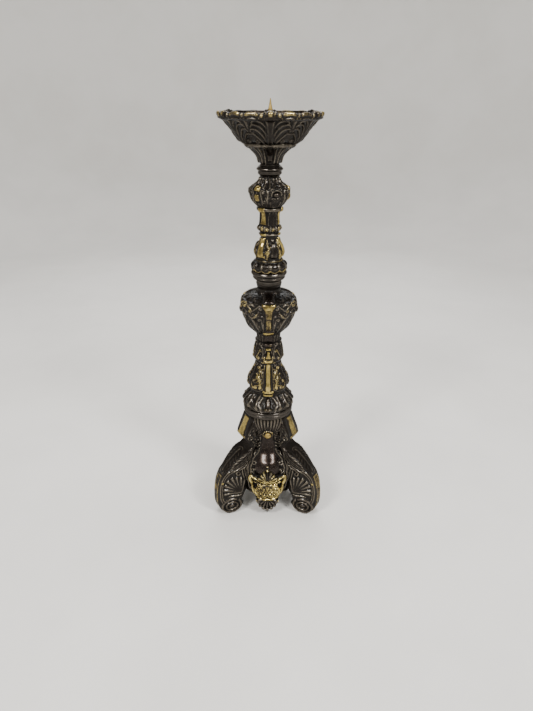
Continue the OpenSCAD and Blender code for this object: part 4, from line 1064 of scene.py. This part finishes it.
def leg(node, turn):
    """A leg: rows run from its outer edge in to the shell, with relief on the edge and both sides."""
    rows, n_side, n_band = 330, 112, 40
    side_sink, edge_sink, root_half, root_in = 1.2, 0.9, 14.5, 2.2
    outer = spline(LEG_OUTER, 20)
    u = arc_length(outer)
    at = np.linspace(0, u[-1], rows)
    outer_rows = even(outer, rows)
    shell_r = lambda z: np.interp(z, shell_line[:, 1], shell_line[:, 0])
    inner = spline([p if isinstance(p, tuple) else (math.sqrt((shell_r(p) - root_in) ** 2 - root_half**2), p)
                    for p in LEG_FROM], 20)
    inner_rows = np.column_stack([np.interp(at, u, inner[:, 0]), np.interp(at, u, inner[:, 1])])
    w = np.linspace(0, 1, n_side)[None]
    side_r = outer_rows[:, :1] * (1 - w) + inner_rows[:, :1] * w
    side_z = outer_rows[:, 1:] * (1 - w) + inner_rows[:, 1:] * w
    half = lambda r: np.interp(r, [20, 52, 93, 103], [14, 16, 9, 9])
    # Side relief
    rs = Relief(side_r, side_z, np.ones_like(side_r), lambda z: z)
    leg_side(rs)
    h, brass, polish, stand = rs.grids()
    length = np.hypot(side_r - side_r[:, :1], side_z - side_z[:, :1])
    ends = np.minimum(at[:, None] / 2.0, (at[-1] - at[:, None]) / 2.0)
    nook = 1 - np.interp(outer_rows[:, 1:], [106, 111, 126, 131], [0, 1, 1, 0])
    fade = ease(length, -0.3, 1.6) * np.clip(ends, 0, 1)
    swell = 1.6 * np.clip(1 - np.hypot(side_r - FOOT[0], side_z - FOOT[1]) / 19, 0, 1)
    y = half(side_r) - side_sink + (h + swell) * fade
    # Edge relief
    y_band = np.linspace(-1, 1, n_band)[None] * (half(outer_rows[:, :1]) - side_sink)
    band_s = np.broadcast_to(at[:, None], (rows, n_band))
    order = np.argsort(outer_rows[:, 1])
    rb = Relief(np.abs(y_band), band_s, np.ones_like(band_s),
                lambda z: float(np.interp(z, outer_rows[order, 1], at[order])))
    leg_edge(rb)
    hb, brass_b, polish_b, stand_b = rb.grids()
    fade_band = ease(half(outer_rows[:, :1]) - side_sink - np.abs(y_band), -0.2, 1.2) * np.clip(ends, 0, 1)
    normal = normals(outer_rows) * -1
    hb = hb * (fade_band * nook) - edge_sink
    r_band, z_band = outer_rows[:, :1] + normal[:, :1] * hb, outer_rows[:, 1:] + normal[:, 1:] * hb
    # The side's first columns follow the sunk edge
    pull = -edge_sink * np.exp(-length / 2.0)
    side_r = side_r + normal[:, :1] * pull
    side_z = side_z + normal[:, 1:] * pull
    join = lambda band, side, far=1: np.hstack([band, side[:, 1:], far * side[:, :0:-1]])
    r, y, z = join(r_band, side_r), join(y_band, y, -1), np.maximum(join(z_band, side_z), 0.0)
    cols = r.shape[1]
    values = {"brass": join(brass_b, brass), "polish": join(polish_b, polish), "stand": join(stand_b, stand)}
    a = math.radians(turn)
    verts = np.stack([r * math.cos(a) - y * math.sin(a), r * math.sin(a) + y * math.cos(a), z], -1)
    mesh_object(node, verts.reshape(-1, 3), grid_quads(rows, cols, closed=False), end_caps(rows, cols),
                values)


for turn, node in zip(LEG_TURNS, ("leg_right", "leg_back", "leg_left")):
    leg(node, turn)


# ---------------------------------------------------------------- cartouches

CARTOUCHE = [(93.5, 1.0), (91, 2.6), (88.5, 3.0), (86, 5.0), (82, 8.6), (78, 11.0), (75.6, 14.0),
             (74.6, 24.0), (73.4, 29.0), (70, 31.0), (66, 30.0), (61, 28.6), (55, 26.5), (49, 25.5),
             (43, 23.5), (38, 22.0), (34, 20.5), (30, 19.4), (26, 18.8), (22, 17.6), (18, 15.6), (15, 13.2),
             (12, 10.0), (9.8, 6.0), (8.4, 1.0)]


def cartouche_relief(r):
    """Shell palmette over a basket of fish scales between scrolls, and a scalloped shell hanging under it."""
    # Hanging shell, silvery rather than gold
    r.fan((0, 31), 2.0, 18.0, 190, 350, 7, 4.6, scallop=0.16, brass=0.04)
    for i in range(7):
        t = math.radians(195 + 25 * i)
        r.bead((14.6 * math.cos(t), 27 + 15.0 * math.sin(t)), 3.4, 5.2, brass=0.10)
    r.strand([(20.5, 33), (20, 27.5), (16, 24.0)], 4.0, 5.4, brass=0.30)
    # Basket
    r.panel([(61.5, 18.6), (50, 18.0), (40, 14.6), (31.5, 10.0)], 1.6, dome=3.4, brass=0.30)
    r.scales([(57, 16.4), (50, 15.6), (42, 13.0), (37, 9.6)], 4.8, 2.2, over=3.4, brass=0.40)
    r.rocaille(35, 59, 0, 15.5, 40, 3.0, 3.0, seed=91, over=4.0, brass=0.62)
    for a, z, size in ((0, 51, 2.6), (6.5, 47, 2.2), (11.5, 53, 2.4), (4.0, 41, 2.0), (10.5, 42, 1.9)):
        r.bead((a, z), size, 7.4, brass=0.78)
    r.strand([(19.0, 50), (17.2, 41), (12.0, 33.8), (6.0, 31.4), (0, 31.0)], 4.2, 7.0, ends=(0.7, 1.1),
             brass=0.85)
    # Side scrolls and brow
    r.strand([(28.6, 70.5), (27.6, 65), (25.0, 60.6), (24.0, 57.6)], 5.4, 6.0, ends=(0.8, 0.6), brass=0.80)
    r.ridge(r.coil((26.6, 70.4), 3.6, 1.2, 20, 400), 2.4, 4.6, brass=0.70)
    r.strand([(24.0, 57), (22.8, 49), (20.6, 44), (17.4, 39.5)], 5.6, 6.4, ends=(0.6, 0.9), brass=0.88)
    r.ridge(r.coil((20.4, 37.0), 3.0, 1.0, 120, 380), 2.2, 4.4, brass=0.35)
    r.strand([(26.5, 72.6), (20.0, 70.2), (13.0, 66.4), (7.0, 64.8), (0, 63.6)], 3.8, 5.2, ends=(0.6, 1.0),
             brass=0.72)
    r.strand([(21, 62.5), (14, 61.5), (7.5, 59.0), (0, 60.4)], 2.6, 4.2, brass=0.50)
    # Palmette of seven lobes over a bead
    root = 66.5
    for a, l, w in ((0, 20.5, 5.0), (23, 20.0, 5.2), (46, 18.4, 5.4), (70, 15.6, 5.6)):
        t = math.radians(90 - a)
        tip = (l * math.cos(t) * 0.86, root + l * math.sin(t))
        bend = (tip[0] * 0.55, root + (tip[1] - root) * 0.6)
        r.strand([(2.5 * math.cos(t), root + 2.5 * math.sin(t)), bend, tip],
                w, 5.8, ends=(0.4, 1.0), brass=0.22 + 0.003 * a)
        r.bead(tip, w * 0.55, 6.6, brass=0.36)
    r.bead((0, 90.0), 2.5, 3.6, brass=0.25)
    r.bead((0, 65.5), 3.6, 5.4, brass=0.75)
    r.stipple(0.6, 0.12, seed=13)


def cartouche(node, turn):
    """A smooth-backed casting on the shell's face, as wide as CARTOUCHE says, curved to a radius of wrap."""
    rows, n_front, n_back, wrap = 240, 170, 12, 50.0
    keys = np.array(CARTOUCHE[::-1])
    z = np.linspace(keys[0, 0], keys[-1, 0], rows)[:, None]
    wide = np.interp(z, keys[:, 0], keys[:, 1])
    x = np.linspace(-1, 1, n_front)[None] * wide
    shell_at = np.interp(np.maximum(z, 36), shell_line[:, 1], shell_line[:, 0])
    shell_at = shell_at + 3.0 * np.clip((38 - z) / 30, 0, 1)
    s = np.broadcast_to(z, x.shape)
    r = Relief(np.abs(x), s, np.ones_like(x), lambda v: v)
    cartouche_relief(r)
    h, brass, polish, stand = r.grids()
    edge = np.minimum(wide - np.abs(x), np.minimum(z - keys[0, 0], keys[-1, 0] - z))
    front = shell_at + 0.9 * ease(edge, 0, 1.5) + h * ease(edge, -0.2, 1.2)
    back_x = np.linspace(1, -1, n_back)[None] * wide
    back = np.broadcast_to(shell_at - 0.6, back_x.shape)
    rad, xs = np.hstack([front, back]), np.hstack([x, back_x])
    a = math.radians(turn) + xs / wrap
    zs = np.broadcast_to(z, rad.shape)
    cols = rad.shape[1]
    pad = lambda g, fill: np.hstack([g, np.full((rows, n_back), fill)])
    verts = np.stack([rad * np.cos(a), rad * np.sin(a), zs], -1).reshape(-1, 3)
    values = {"brass": pad(brass, 0), "polish": pad(polish, 0), "stand": pad(stand, 0.4)}
    mesh_object(node, verts, grid_quads(rows, cols, closed=False), end_caps(rows, cols), values,
                slot="gilt_bronze", material=gilt_mat)


for turn, node in zip(FACE_TURNS, ("cartouche_front", "cartouche_right", "cartouche_left")):
    cartouche(node, turn)


# ---------------------------------------------------------------- plain CAD parts

BRASS_PARTS = ("pricket", "pricket_washer", "cabochon_front", "cabochon_right", "cabochon_left",
               "cartouche_rivets")
IRON_PARTS = ("tie_rod", "rod_washer", "rod_nut", "leg_screws")
for finish, nodes in ((brass_mat, BRASS_PARTS), (iron_mat, IRON_PARTS)):
    for name in nodes:
        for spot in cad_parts[name].material_slots:
            spot.material = finish
